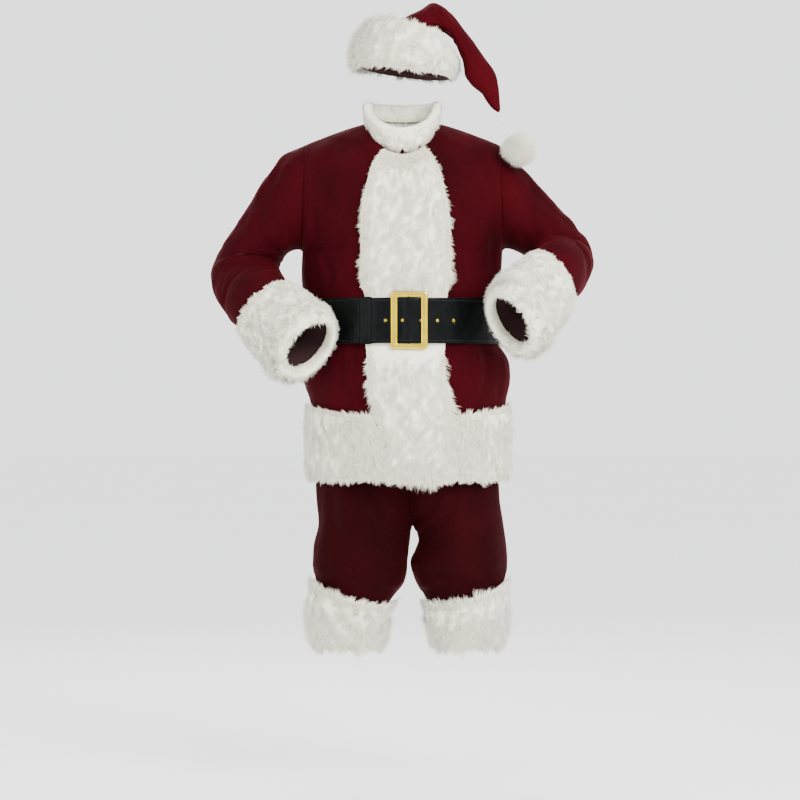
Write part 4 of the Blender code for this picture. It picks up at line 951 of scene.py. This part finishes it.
# %% Hem
HEM_PILE = table("at pile",
    (0, 10), (0.08, 18), (0.5, 24), (0.9, 24), (1, 16))
CUFF_PILE = table("at pile",
    (0, 10), (0.1, 22), (0.42, 32), (0.76, 38), (0.85, 20), (0.92, 11), (1, 6))
LEG_PILE = table("at pile",
    (0, 18), (0.12, 32), (0.35, 42), (0.6, 42), (0.85, 32), (1, 15))
HAT_PILE = table("at pile",
    (0, 12), (0.15, 30), (0.5, 34), (0.85, 26), (1, 6))
NECK_PILE = table("at pile",
    (0, 15), (0.15, 18), (0.45, 16), (0.62, 10), (0.8, 8), (1, 6))
FUR_GAP, HEM_LOW, HEM_TALL, HEM_DIP = 0.0010, -0.838, 0.178, 0.024
fine_s = np.linspace(-1.0, 1.0, 401)
hem_z = np.linspace(-0.847, -0.655, 9)
hem_front = jacket(-1, fine_s[None, :], height_to_v(hem_z)[:, None])[..., 0]
hem_right, hem_left = by_height(BAND, "right", hem_z), by_height(BAND, "left", hem_z)


def share_of(xs, rows):
    """The jacket's s of each x, read from rows of x over fine_s."""
    return np.array([np.interp(x, row, fine_s) for x, row in zip(xs, rows)])


hem_first = share_of(hem_left + FUR_GAP, hem_front)
hem_last = share_of(hem_right - FUR_GAP, hem_front) + 4.0


def hem(u, v):
    """Round the hem from one edge of the front band to the other: s runs over the front up to
    1, over the back up to 3 and over the front again to 4."""
    u, v = np.broadcast_arrays(np.asarray(u, float), np.asarray(v, float))
    first = np.interp(v, np.linspace(0, 1, 9), hem_first)
    s = first + (np.interp(v, np.linspace(0, 1, 9), hem_last) - first) * u
    dip = HEM_DIP * np.exp(-(np.minimum(u, 1.0 - u) / 0.13) ** 2)
    height = height_to_v(HEM_LOW + (HEM_TALL - dip) * v)
    s = np.where(s > 3.0, s - 4.0, s)
    front = jacket(-1, np.where(np.abs(s) <= 1.0, s, 0.0), height)
    behind = jacket(1, np.where(np.abs(s) <= 1.0, 0.0, 2.0 - s), height)
    return np.where((np.abs(s) <= 1.0)[..., None], front, behind)


def hem_lean(u, v):
    """Down, with the tips up along the top edge, and sideways over the gap beside the front band."""
    across = 0.6 * step(0.975, 1.0, u) - 1.1 * (1.0 - step(0.0, 0.025, u))
    return across, 1.15 * step(0.86, 1.0, v) - 0.60 - 0.35 * (1.0 - step(0.0, 0.10, v))


def pile_of(rows):
    """The pile of a table by the way along the strip, the same all across it."""
    return lambda u, v: smooth(rows["at"], rows["pile"], v) + 0 * u


fur("hem_pile", "hem_fur", hem, 1, False, pile_of(HEM_PILE), hem_lean, 45000, 101,
    (13, 145))

# %% Front band
band_z = np.linspace(-0.845, float(ARMPIT_Z + (NECK_FRONT[1] - ARMPIT_Z) * 0.93), 61)
band_row = jacket(-1, fine_s[None, :], height_to_v(band_z)[:, None])[..., 0]
band_right = share_of(by_height(BAND, "right", band_z), band_row)
band_left = share_of(by_height(BAND, "left", band_z), band_row)


def front_band(u, v):
    """From the wearer's right edge (u 0) to the left (1), and from below the hem (v 0) to the neck."""
    u, v = np.broadcast_arrays(np.asarray(u, float), np.asarray(v, float))
    at = np.linspace(0, 1, 61)
    z = np.interp(v, at, band_z)
    right = np.interp(v, at, band_right)
    return jacket(-1, right + (np.interp(v, at, band_left) - right) * (0.01 + 0.98 * u), height_to_v(z))


def band_pile(u, v):
    """The table's pile, times 0.45 at the two edges and 1 from a tenth of the way in."""
    edge = 0.45 + 0.55 * step(0.0, 0.12, u) * (1.0 - step(0.88, 1.0, u))
    z = np.interp(v, np.linspace(0, 1, 61), band_z)
    return by_height(BAND, "pile", z) * edge * (0.5 + 0.5 * step(0.0, 0.06, v))


def band_lean(u, v):
    """Down, and outwards at the two edges, more so over the hem."""
    out = 0.42 + 0.35 * (1.0 - step(0.22, 0.34, v))
    across = out * (step(0.80, 1.0, u) - (1.0 - step(0.0, 0.20, u)))
    return across, -0.60 + 0.20 * (1.0 - step(0.0, 0.04, v))


fur("front_band_pile", "front_band_fur", front_band, 1, False, band_pile, band_lean, 31000,
    111, (61, 15))

# %% Sleeve cuffs
CUFF_SLANT = 0.17
for side, name, start in ((1, "left", LEFT_CUFF_START), (-1, "right", RIGHT_CUFF_START)):
    last = len((LEFT_SLEEVE if side > 0 else RIGHT_SLEEVE)["y"]) - 1.0

    def cuff(u, v, side=side, start=start, last=last):
        """The sleeve's own surface over its last stretch."""
        angle = TAU * np.asarray(u, float)
        begin = start + 0.10 + CUFF_SLANT * (1.0 + np.sin(angle))
        return sleeve(side, angle, begin + (last - 0.03 - begin) * np.asarray(v, float))

    def cuff_pile(u, v):
        """The pile along the cuff, pressed down where the cuff lies against the jacket."""
        squashed = 1.0 - 0.55 * np.clip(np.cos(TAU * u - math.radians(225.0)), 0.0, 1.0)
        return smooth(CUFF_PILE["at"], CUFF_PILE["pile"], v) * squashed

    fur(f"sleeve_cuff_pile_{name}", f"sleeve_cuff_fur_{name}", rolled(cuff, side, 0.80, 0.10), side, True,
        cuff_pile, lambda u, v: (0.0 * u, 0.15 - 0.55 * (1.0 - step(0.0, 0.16, v))), 23000,
        121 + side, (21, 81), 1.1)

# %% Leg cuffs
LEG_CUFF_LOW, LEG_CUFF_TALL, LEG_CUFF_RISE = -1.238, 0.103, 0.046
for side, name, rows in ((1, "left", LEFT_LEG), (-1, "right", RIGHT_LEG)):
    def leg_cuff(u, v, side=side, rows=rows):
        """An ellipse round the end of the leg, whose top edge is higher on the outer side."""
        angle = TAU * np.asarray(u, float)
        tall = LEG_CUFF_TALL + LEG_CUFF_RISE * (0.5 + 0.5 * np.cos(angle)) ** 2.2
        z = LEG_CUFF_LOW + tall * np.asarray(v, float)
        middle = (by_height(rows, "inner", z) + by_height(rows, "outer", z)) / 2
        half = side * (by_height(rows, "outer", z) - by_height(rows, "inner", z)) / 2
        return point(middle + side * half * np.cos(angle), -by_height(rows, "depth", z) * np.sin(angle), z)

    fur(f"leg_cuff_pile_{name}", f"leg_cuff_fur_{name}", leg_cuff, -side, True, pile_of(LEG_PILE),
        lambda u, v: (0.0 * u, 1.5 * step(0.78, 1.0, v) - 0.40 - 0.20 * (1.0 - step(0.0, 0.2, v))), 19000,
        131 + side, dense=1.1)


# %% Hat band
def hat_band(u, v):
    """The lowest rings of the crown."""
    return crown(TAU * np.asarray(u, float), HAT_BAND_END * np.asarray(v, float))


def hat_pile(u, v):
    """The pile up the band, pressed down where the tail falls over it."""
    under_tail = np.clip(-np.cos(TAU * u), 0.0, 1.0) ** 2
    fuller = 1.0 + 0.34 * np.clip(np.cos(TAU * u), 0.0, 1.0) ** 1.5
    pile = smooth(HAT_PILE["at"], HAT_PILE["pile"], v)
    return pile * fuller * (1.0 - under_tail * step(0.2, 0.75, v) * 0.72)


fur("hat_band_pile", "hat_band_fur", hat_band, 1, True, hat_pile,
    lambda u, v: (0.0 * u, 0.45 * step(0.75, 1.0, v) - 0.5 * (1.0 - step(0.0, 0.25, v))), 24000,
    141, dense=1.1)


# %% Neck band
NECK_FLARE, NECK_TALL = 0.25, 0.040


def neck_band(u, v):
    """A narrow strip that stands on the neckline and leans out."""
    angle = TAU * np.asarray(u, float)
    front = np.cos(angle) > 0
    y = np.where(front, NECK_FRONT[0] * np.cos(angle), -NECK_BACK[0] * np.cos(angle))
    low = np.where(front, NECK_FRONT[1], NECK_BACK[1])
    z = low + (NECK_SIDE_Z - low) * (1 - np.abs(np.cos(angle)))
    rise = FUR_LIFT + NECK_TALL * np.asarray(v, float)
    return point(JACKET_CENTRE + (NECK_X + NECK_FLARE * rise) * np.sin(angle),
                 y - NECK_FLARE * rise * np.cos(angle), z + rise)


fur("neck_pile", "collar_fur", rolled(neck_band, 1, 0.56, 0.85), 1, True, pile_of(NECK_PILE),
    lambda u, v: (0.0 * u, -0.5 * (1.0 - step(0.0, 0.3, v)) - 0.35 * (1.0 - step(0.3, 0.5, v))),
    11000, 151, (27, 73))

# %% [markdown]
# ## The pompom and its cord
# A pompom is a bundle of yarn ends bound at the middle, so its hairs all start at one point
# and its outline is a slightly lumpy ball. It hangs from the tip of the hat's tail on a thin
# two-ply cord, a tube whose section is two lobes that turn along it.

# %% Cord
POMPOM_CENTRE = np.array((0.275, -0.092, -0.049))
POMPOM_CORE, POMPOM_REACH = 0.031, 0.052
CORD_RADIUS, CORD_STEPS, CORD_SIDES, CORD_PITCH = 0.0013, 61, 14, 0.006
thread_finish = two_tone("white_thread", 900.0, (0.60, 0.60, 0.57), (0.86, 0.86, 0.82), Roughness=0.8)[0]
tail_tip = crown(np.array((0.0, math.pi)), 14.0).mean(axis=0)
towards = unit(tail_tip - POMPOM_CENTRE)
ends = np.array((tail_tip + (0.0, 0.0, -0.001), POMPOM_CENTRE + towards * POMPOM_CORE))
cord_length = float(np.linalg.norm(ends[1] - ends[0]))
along_cord = np.linspace(0, 1, CORD_STEPS)[:, None]
cord_line = ends[0] + (ends[1] - ends[0]) * along_cord
side_way = unit(np.cross(ends[1] - ends[0], (0.0, 1.0, 0.0)))
other_way = unit(np.cross(ends[1] - ends[0], side_way))
round_it = turns(CORD_SIDES)[None, :]
twist = along_cord * cord_length / CORD_PITCH * TAU / 2
lobes = CORD_RADIUS * (0.86 + 0.14 * np.cos(2 * (round_it - twist)))
cord_points = (cord_line[:, None, :] + lobes[..., None] * (np.cos(round_it)[..., None] * side_way
                                                           + np.sin(round_it)[..., None] * other_way))
index = numbered(CORD_STEPS, CORD_SIDES)
caps = [np.stack([np.full(12, ring[0]), ring[1:-1], ring[2:]], axis=-1)
        for ring in (index[0], index[-1, ::-1])]
cord = turn_outwards(mesh_of("pompom_string", cord_points.reshape(-1, 3), [ring_faces(index), *caps],
                             (thread_finish,)))
belongs(cord, "thread", "pompom_cord")
print("cord:", round(cord_length * 1000, 1), "mm")

# %% Pompom
chance = np.random.default_rng(161)
count = 12000
order = np.arange(count) + 0.5
level = 1 - 2 * order / count
turn = order * math.pi * (1 + math.sqrt(5))
ways = point(np.sqrt(1 - level ** 2) * np.cos(turn), np.sqrt(1 - level ** 2) * np.sin(turn), level)
lumps = 0.89 + 0.11 * waves(ways, 1.1, 162)
tuft = unit(ways + 0.16 * np.stack([waves(ways * 6, 1.3, seed) for seed in (163, 164, 165)], axis=-1)
            + 0.13 * chance.normal(size=ways.shape))
far = POMPOM_REACH * lumps * chance.uniform(0.74, 1.0, count)
roots = POMPOM_CENTRE + ways * (POMPOM_CORE - 0.009)
tips = POMPOM_CENTRE + tuft * far[:, None] - (0.0, 0.0, 0.004)
points, spikes, shading = hairs(roots, tips, chance.uniform(0.0014, 0.0024, count),
                                unit(tuft + 0.2 * chance.normal(size=ways.shape)), 166)
polar, turn = np.linspace(0, math.pi, 25)[1:-1, None], turns(40)[None, :]
ball_ways = point(np.sin(polar) * np.cos(turn), np.sin(polar) * np.sin(turn),
                  np.cos(polar) + 0 * turn).reshape(-1, 3)
uneven = (1 + 0.03 * waves(ball_ways * 3, 1.0, 167))[:, None]
ball = POMPOM_CENTRE + ball_ways * (POMPOM_CORE - 0.004) * uneven
poles = POMPOM_CENTRE + np.array(((0, 0, 1.0), (0, 0, -1.0))) * (POMPOM_CORE - 0.004)
index = numbered(23, 40)
after = np.roll(index, -1, axis=1)
ball_faces = np.stack([index[:-1], index[1:], after[1:], after[:-1]], axis=-1).reshape(-1, 4)
ends_faces = np.concatenate([np.stack([np.full(40, 920), index[0], after[0]], axis=-1),
                             np.stack([np.full(40, 921), after[-1], index[-1]], axis=-1)])
pompom = mesh_of("pompom_yarn", np.concatenate([ball, poles, points]),
                 (ball_faces, ends_faces, spikes + 922), (fur_finish,))
worn = chance.normal(size=count) * 0.08 + 0.10 * waves(ways * 6, 1.0, 168)
# The yarn ends' feet and the core ball are painted shade, darker inside the pompom; worn adds random tone.
shades_and_tones = np.stack([0.05 + worn] * 3 + [1.0 + worn], axis=1).ravel()
shaded_and_toned(pompom, np.concatenate([np.full(922, BALL_SHADE), shades_and_tones]))
pompom.data.normals_split_custom_set_from_vertices(
    np.concatenate([ball_ways, [(0, 0, 1.0), (0, 0, -1.0)], shading]).tolist())
belongs(pompom, "fur", "pompom")
print("pompom:", count, "yarn ends")

# %% [markdown]
# ## The belt
# The strap is wide patent leather: a black, glossy coat over a slightly wavy hide. It is wound
# once round the waist. Its free end comes over the start, rises over the buckle's bar, and
# goes on under the keeper to a rounded tip. The section is a flat bar with soft edges, carried
# round the waist. Its holes are cut through, and each has a small metal eyelet.

# %% Leather and metal
patent, tree, shader = two_tone("black_patent", 30.0, (0.0008, 0.0012, 0.0012), (0.0018, 0.0025, 0.0026),
                                Roughness=0.45, Coat_Weight=0.06, Coat_Roughness=0.11,
                                Specular_IOR_Level=0.03)
hide = bump(tree, shader, noise(tree, 42.0, 2.0), 0.0022)
bump(tree, shader, noise(tree, 1500.0, 2.0), 0.00012, 0.6, hide)
gold, tree, shader = two_tone("cast_gold", 60.0, (0.50, 0.345, 0.018), (0.60, 0.425, 0.030), 0.35, 0.65,
                              Metallic=1.0, Roughness=0.24)
bump(tree, shader, noise(tree, 250.0), 0.0001, 0.5)
black_thread = two_tone("black_thread", 900.0, (0.010, 0.011, 0.011), (0.030, 0.032, 0.032),
                        Roughness=0.6)[0]
print("belt finishes:", patent.name, gold.name, black_thread.name)

# %% Strap
STRAP, STRAP_OVER_CLOTH, STRAP_OVER_FUR = 0.0035, 0.0018, 0.0090
FUR_REACH, STRAP_EASE, SEAM = 0.112, 0.075, 0.0003
STRAP_START_X, STRAP_TIP_X, BUCKLE_X, BUCKLE_Z = 0.004, -0.113, 0.012, -0.4615
HUMP, HUMP_REACH, STITCH_INSET, ROUND_EDGE = 0.0052, 0.011, 0.0065, 0.0012
EYELETS_X = (-0.043, -0.006, 0.034, 0.070, 0.106)
BELT_MIDDLE, BELT_HALF = (BELT_TOP + BELT_BOTTOM) / 2, (BELT_TOP - BELT_BOTTOM) / 2


def strap_point(angle, z, lift):
    """A point lift away from the ellipse of the waist: angle 0 is the centre front."""
    waist = {name: float(by_height(TORSO, name, BELT_BOTTOM)) for name in TORSO}
    half, depth = waist["half"], np.where(np.cos(angle) > 0, waist["front"], waist["back"])
    x, y = half * np.sin(angle), -depth * np.cos(angle)
    away = unit(point(x / half ** 2, y / depth ** 2, 0.0))
    return point(waist["centre"] + x, y, z) + np.asarray(lift)[..., None] * away


def angle_of_x(x):
    """The angle in front at which the belt has this x."""
    return math.asin((x - float(by_height(TORSO, "centre", BELT_MIDDLE)))
                     / float(by_height(TORSO, "half", BELT_MIDDLE)))


def strap_back(angle):
    """How far the strap's back lies off the fronts: cloth at the sides, fur in the middle, the
    strap's own start under its free end, and a hump of 5.2 mm over the bar."""
    near = np.where(np.cos(angle) > 0,
                    1.0 - step(FUR_REACH, FUR_REACH + STRAP_EASE, np.abs(0.235 * np.sin(angle))), 0.0)
    over = 1.0 - step(-TAU + angle_of_x(0.035), -TAU + angle_of_x(0.105), angle)
    x = JACKET_CENTRE + 0.234 * np.sin(angle)
    hump = over * np.exp(-((x - BUCKLE_X) / HUMP_REACH) ** 2) * HUMP
    return STRAP_OVER_CLOTH + (STRAP_OVER_FUR - STRAP_OVER_CLOTH) * near + over * (STRAP + SEAM) + hump


first = angle_of_x(STRAP_START_X)
last = angle_of_x(STRAP_TIP_X) - TAU
tip_turn = 0.030 / 0.19
to_end = np.concatenate([np.linspace(first, last + tip_turn, 400)[:-1],
                         last + tip_turn - tip_turn * np.sin(np.linspace(0, math.pi / 2 * 0.985, 22))])
rounding = np.linspace(-math.pi / 2, math.pi / 2, 7)
edge_z = np.concatenate([BELT_HALF - ROUND_EDGE + ROUND_EDGE * np.cos(rounding),
                         np.linspace(0.9, -0.9, 9) * BELT_HALF,
                         -BELT_HALF + ROUND_EDGE - ROUND_EDGE * np.cos(rounding[::-1]),
                         np.linspace(-0.9, 0.9, 9) * BELT_HALF])
edge_out = np.concatenate([0.5 + 0.5 * np.sin(rounding), np.ones(9), 0.5 + 0.5 * np.sin(rounding[::-1]),
                           np.zeros(9)])
from_stitches = (np.abs(edge_z) - BELT_HALF + STITCH_INSET) / ROUND_EDGE
crease_in = 0.00035 * np.exp(-from_stitches ** 2) * (edge_out > 0.9)
to_tip = np.clip((last + tip_turn - to_end) / tip_turn, 0.0, 1.0)
narrow = np.sqrt(1.0 - 0.92 * to_tip ** 2)
strap_z = BELT_MIDDLE + edge_z[None, :] * narrow[:, None]
strap_lift = strap_back(to_end)[:, None] + STRAP * edge_out[None, :] - crease_in[None, :]
strap_grid = strap_point(to_end[:, None] + 0 * strap_z, strap_z, strap_lift)
index = numbered(*strap_grid.shape[:2])
closing = [np.stack([ring[:15], ring[1:16], ring[::-1][1:16], ring[::-1][:15]], axis=-1)
           for ring in (np.roll(index[0], 4), np.roll(index[-1], 4))]
strap = turn_outwards(mesh_of("patent_strap", strap_grid.reshape(-1, 3), [ring_faces(index), *closing],
                              (patent,)))
print("strap:", round(float(np.linalg.norm(np.diff(strap_grid[:, 11], axis=0), axis=-1).sum()), 2),
      "m long")

# %% [markdown]
# ## Cutting the eyelet holes
# The holes are punched through the strap, so a Boolean takes rods out of it and its result is
# kept as a plain mesh. The rods are helpers and are removed. Each hole then gets a metal
# eyelet: a small ring whose section is a half round, turned about the hole.

# %% Holes and eyelets
HOLE = 0.0042


def revolved(centre, out, radii, heights, steps=40):
    """A closed profile of radii and heights turned about a line through the centre along out:
    point = centre + radius * (cos * side + sin * other) + height * out."""
    side = unit(np.cross(out, (0.0, 0.0, 1.0)))
    other = np.cross(side, out)
    turn = turns(steps)[:, None]
    ring = np.cos(turn)[..., None] * side + np.sin(turn)[..., None] * other
    return centre + np.asarray(radii)[None, :, None] * ring + np.asarray(heights)[None, :, None] * out


def closed_rings(grids):
    """Points and faces of rings of closed sections, joined both ways round."""
    points, faces, first = [], [], 0
    for grid in grids:
        rows, columns = grid.shape[:2]
        index = numbered(rows, columns) + first
        after = np.roll(index, -1, axis=0)
        faces.append(np.stack([index, after, np.roll(after, -1, axis=1), np.roll(index, -1, axis=1)],
                              axis=-1).reshape(-1, 4))
        points.append(grid.reshape(-1, 3))
        first += rows * columns
    return np.concatenate(points), np.concatenate(faces)


holes = []
for x in EYELETS_X:
    angle = angle_of_x(x) - (TAU if x < 0.05 else 0.0)
    angle = angle if first >= angle or x < 0.05 else angle - TAU
    outer_face = strap_point(np.array(angle), np.array(BELT_MIDDLE),
                             np.array(float(strap_back(np.array(angle))) + STRAP))
    out = unit(point(outer_face[0] - JACKET_CENTRE, outer_face[1] * 1.5, 0.0))
    holes.append((outer_face, out))
rods = bmesh.new()
for centre, out in holes:
    made = bmesh.ops.create_cone(rods, cap_ends=True, segments=32, radius1=HOLE / 2, radius2=HOLE / 2,
                                 depth=0.022)
    side = unit(np.cross(out, (0.0, 0.0, 1.0)))
    turned_to = np.stack([side, np.cross(out, side), out], axis=-1)
    for vert in made["verts"]:
        vert.co = centre + turned_to @ np.array(vert.co)
rod_mesh = bpy.data.meshes.new("rods")
rods.to_mesh(rod_mesh)
rods.free()
rod = put("rods", rod_mesh)
cut = strap.modifiers.new("holes", "BOOLEAN")
cut.operation, cut.object = "DIFFERENCE", rod
cut_mesh = bpy.data.meshes.new_from_object(strap.evaluated_get(bpy.context.evaluated_depsgraph_get()))
strap.modifiers.clear()
whole_faces = len(strap.data.polygons)
strap.data = cut_mesh
bpy.data.objects.remove(rod)
belongs(strap, "black_leather", "belt_strap")
section = np.linspace(0, TAU, 12, endpoint=False)
rings = [revolved(centre, out, HOLE / 2 + 0.0006 + 0.0008 * np.cos(section),
                  0.0003 + 0.0005 * np.sin(section))
         for centre, out in holes]
points, faces = closed_rings(rings)
eyelets = turn_outwards(mesh_of("belt_eyelets", points, (faces,), (gold,)))
belongs(eyelets, "gold_metal")
print("strap faces before and after the holes:", whole_faces, len(strap.data.polygons))

# %% [markdown]
# ## Stitches
# A line of thread runs near both edges of the strap and of the keeper. A stitch is a short
# capsule, so one small grid is carried to hundreds of places by one sum.

# %% Stitches along the belt


def stitches(name, places, ways, outs, long, thick):
    """Each stitch is an ellipsoid: place + long * cos * way + thick * sin * (side and out)."""
    polar, turn = np.linspace(0, math.pi, 5)[:, None], turns(5)[None, :]
    side = unit(np.cross(ways, outs))
    body = (np.cos(polar + 0 * turn)[None, ..., None] * ways[:, None, None] * long / 2
            + (np.sin(polar) * np.cos(turn))[None, ..., None] * side[:, None, None] * thick / 2
            + (np.sin(polar) * np.sin(turn))[None, ..., None] * outs[:, None, None] * thick / 2)
    grid = places[:, None, None] + body
    one = ring_faces(numbered(5, 5))
    faces = (one[None] + (np.arange(len(places)) * 25)[:, None, None]).reshape(-1, 4)
    made = turn_outwards(mesh_of(name, grid.reshape(-1, 3), (faces,), (black_thread,)), 1e-6)
    belongs(made, "black_leather")


shown = np.linspace(last + tip_turn + 0.02, first - 0.62, 290)
inset = BELT_HALF - STITCH_INSET
stitch_angle = np.concatenate([shown, shown])
stitch_z = BELT_MIDDLE + np.concatenate([np.full(290, inset), np.full(290, -inset)])
stitch_lift = strap_back(stitch_angle) + STRAP
stitch_at = strap_point(stitch_angle, stitch_z, stitch_lift)
stitch_next = strap_point(stitch_angle + 0.002, stitch_z, strap_back(stitch_angle + 0.002) + STRAP)
stitch_way = unit(stitch_next - stitch_at)
stitch_out = unit(strap_point(stitch_angle, stitch_z, stitch_lift + 0.001) - stitch_at)
stitches("belt_stitches", stitch_at, stitch_way, stitch_out, 0.0033, 0.0007)
print("stitches:", len(stitch_at))

# %% [markdown]
# ## Keeper and buckle
# The keeper is a flat loop of the same leather. The buckle is a cast frame with a rounded
# face, and its bar lies behind the free end. Both are closed sections carried round a
# path: the keeper's round the strap, the buckle's round a rectangle with rounded corners.

# %% Keeper
KEEPER_X, KEEPER, CORNER = (-0.098, -0.074), 0.0018, 0.0006


def keeper_loop(out, at):
    """A rounded rectangle round the two layers of strap, out from them by that much: four
    quarter circles of radius 0.6 mm + out, joined by straight sides."""
    low, high = STRAP_OVER_FUR, STRAP_OVER_FUR + 2 * STRAP + SEAM
    radius = CORNER + out
    quarter = np.linspace(0, math.pi / 2, 7)
    turn = np.concatenate([quarter + k * math.pi / 2 for k in range(4)])
    up = np.repeat((1.0, -1.0, -1.0, 1.0), 7)
    forward = np.repeat((1.0, 1.0, -1.0, -1.0), 7)
    z = up * (BELT_HALF - CORNER) + radius * np.cos(turn)
    lift = np.where(forward > 0, high - CORNER, low + CORNER) + radius * np.sin(turn)
    return strap_point(at + 0 * z, BELT_MIDDLE + z, lift)


keeper_at = np.linspace(angle_of_x(KEEPER_X[0]), angle_of_x(KEEPER_X[1]), 9)
keeper_round = np.sin(np.linspace(0.25, math.pi - 0.25, 9)) ** 0.35
outer = np.array([keeper_loop(2 * SEAM + KEEPER * r, a) for a, r in zip(keeper_at, keeper_round)])
inner = np.array([keeper_loop(2 * SEAM, a) for a in keeper_at])
keeper = wall("patent_keeper", outer, inner, True, patent, patent)
belongs(keeper, "black_leather", "belt_keeper")
line = np.linspace(-BELT_HALF + 0.004, BELT_HALF - 0.004, 22)
across_at = np.repeat((keeper_at[0] + 0.014, keeper_at[-1] - 0.014), 22)
keeper_z = BELT_MIDDLE + np.concatenate([line, line])
face_lift = np.full(44, STRAP_OVER_FUR + 2 * STRAP + SEAM + 2 * SEAM + KEEPER)
keeper_places = strap_point(across_at, keeper_z, face_lift)
keeper_outs = unit(strap_point(across_at, keeper_z, face_lift + 0.001) - keeper_places)
stitches("keeper_stitches", keeper_places, np.tile((0.0, 0.0, 1.0), (44, 1)), keeper_outs, 0.0032, 0.0007)
print("keeper faces:", len(keeper.data.polygons))

# %% Buckle frame and bar
BUCKLE_SIZE, BUCKLE_RIM, BUCKLE_THICK, BAR_RADIUS = (0.087, 0.1355), (0.016, 0.0132), 0.0045, 0.0030
face_edges = strap_point(np.zeros(2), np.array((BELT_TOP, BELT_BOTTOM)),
                         np.full(2, STRAP_OVER_FUR + 2 * STRAP + 2 * SEAM))
plane_y = float(face_edges[:, 1].min())
turn = np.concatenate([np.linspace(k, k + 1, 9) * math.pi / 2 for k in range(4)])
corner_x, corner_z = np.repeat((1.0, -1.0, -1.0, 1.0), 9), np.repeat((1.0, 1.0, -1.0, -1.0), 9)
arch = np.linspace(0, math.pi, 15)
share = np.concatenate([(0.5 - 0.5 * np.cos(arch)), (1.0, 0.5, 0.0)])
front = np.concatenate([np.sin(arch) ** 0.55 * 0.82 + 0.18, (0.0, 0.0, 0.0)])
share_front = np.clip(share, 0, 1)[None, :]
radius = np.maximum(0.0075 * (1.0 - share_front), 0.0015)
half_x, half_z = (size / 2 - share_front * rim - radius for size, rim in zip(BUCKLE_SIZE, BUCKLE_RIM))
x = BUCKLE_X + corner_x[:, None] * half_x + radius * np.cos(turn)[:, None]
z = BUCKLE_Z + corner_z[:, None] * half_z + radius * np.sin(turn)[:, None]
points, faces = closed_rings([point(x, plane_y - front[None, :] * BUCKLE_THICK, z)])
buckle = turn_outwards(mesh_of("gold_frame", points, (faces,), (gold,)))
belongs(buckle, "gold_metal", "buckle_frame")
bar_half = BUCKLE_SIZE[1] / 2 - 0.006
profile = (np.array((0.0001, 0.8, 1.0, 1.0, 0.8, 0.0001)) * BAR_RADIUS,
           np.array((-bar_half, -bar_half, 0.0004 - bar_half, bar_half - 0.0004, bar_half, bar_half)))
turn = turns(32)[:, None]
bar_grid = point(BUCKLE_X + profile[0] * np.cos(turn),
                 plane_y + SEAM + BAR_RADIUS + profile[0] * np.sin(turn), BUCKLE_Z + profile[1] + 0 * turn)
points, faces = closed_rings([bar_grid])
bar = turn_outwards(mesh_of("gold_bar", points, (faces,), (gold,)))
belongs(bar, "gold_metal", "buckle_bar")
print("buckle lies at y", round(plane_y, 4))

# %% [markdown]
# ## Floor and light
# A plain pale floor, a large soft key light from the front and above, a weaker fill from the
# other side and a rim from behind keep the black belt and the dark velvet readable.

# %% Stage
FLOOR_Z = -1.572
floor_finish = two_tone("pale_floor", 0.8, (0.955, 0.955, 0.95), (0.97, 0.97, 0.965), Roughness=0.9)[0]
floor = mesh_of("floor", np.array(((-60, -9, FLOOR_Z), (60, -9, FLOOR_Z), (60, 110, FLOOR_Z),
                                   (-60, 110, FLOOR_Z)), float),
                (np.arange(4)[None, :],), (floor_finish,))
world = bpy.data.worlds.new("studio")
world.use_nodes = True
world.node_tree.nodes["Background"].inputs["Color"].default_value = (0.93, 0.94, 0.95, 1.0)
world.node_tree.nodes["Background"].inputs["Strength"].default_value = 2.3
bpy.context.scene.world = world


def lamp(name, place, size, watts, colour=(1.0, 1.0, 1.0)):
    """A square soft light that faces the middle of the suit."""
    made = bpy.data.lights.new(name, "AREA")
    made.shape, made.size, made.energy, made.color = "SQUARE", size, watts, colour
    light = put(name, made)
    light.location = place
    way = np.array((0.0, 0.0, -0.55)) - np.array(place)
    light.rotation_euler = (math.atan2(math.hypot(way[0], way[1]), -way[2]), 0.0,
                            math.atan2(-way[0], way[1]))


lamp("key", (2.4, -4.2, 1.6), 2.2, 440)
lamp("fill", (-2.8, -3.6, 0.4), 2.6, 60)
lamp("rim", (-0.6, 3.2, 2.0), 2.0, 120)

# %% Finish
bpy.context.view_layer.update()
added = [o for o in bpy.data.objects if o.type == "MESH" and not o.hide_render and not o.get("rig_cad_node")]
print("triangles:", sum(len(p.vertices) - 2 for o in added for p in o.data.polygons))
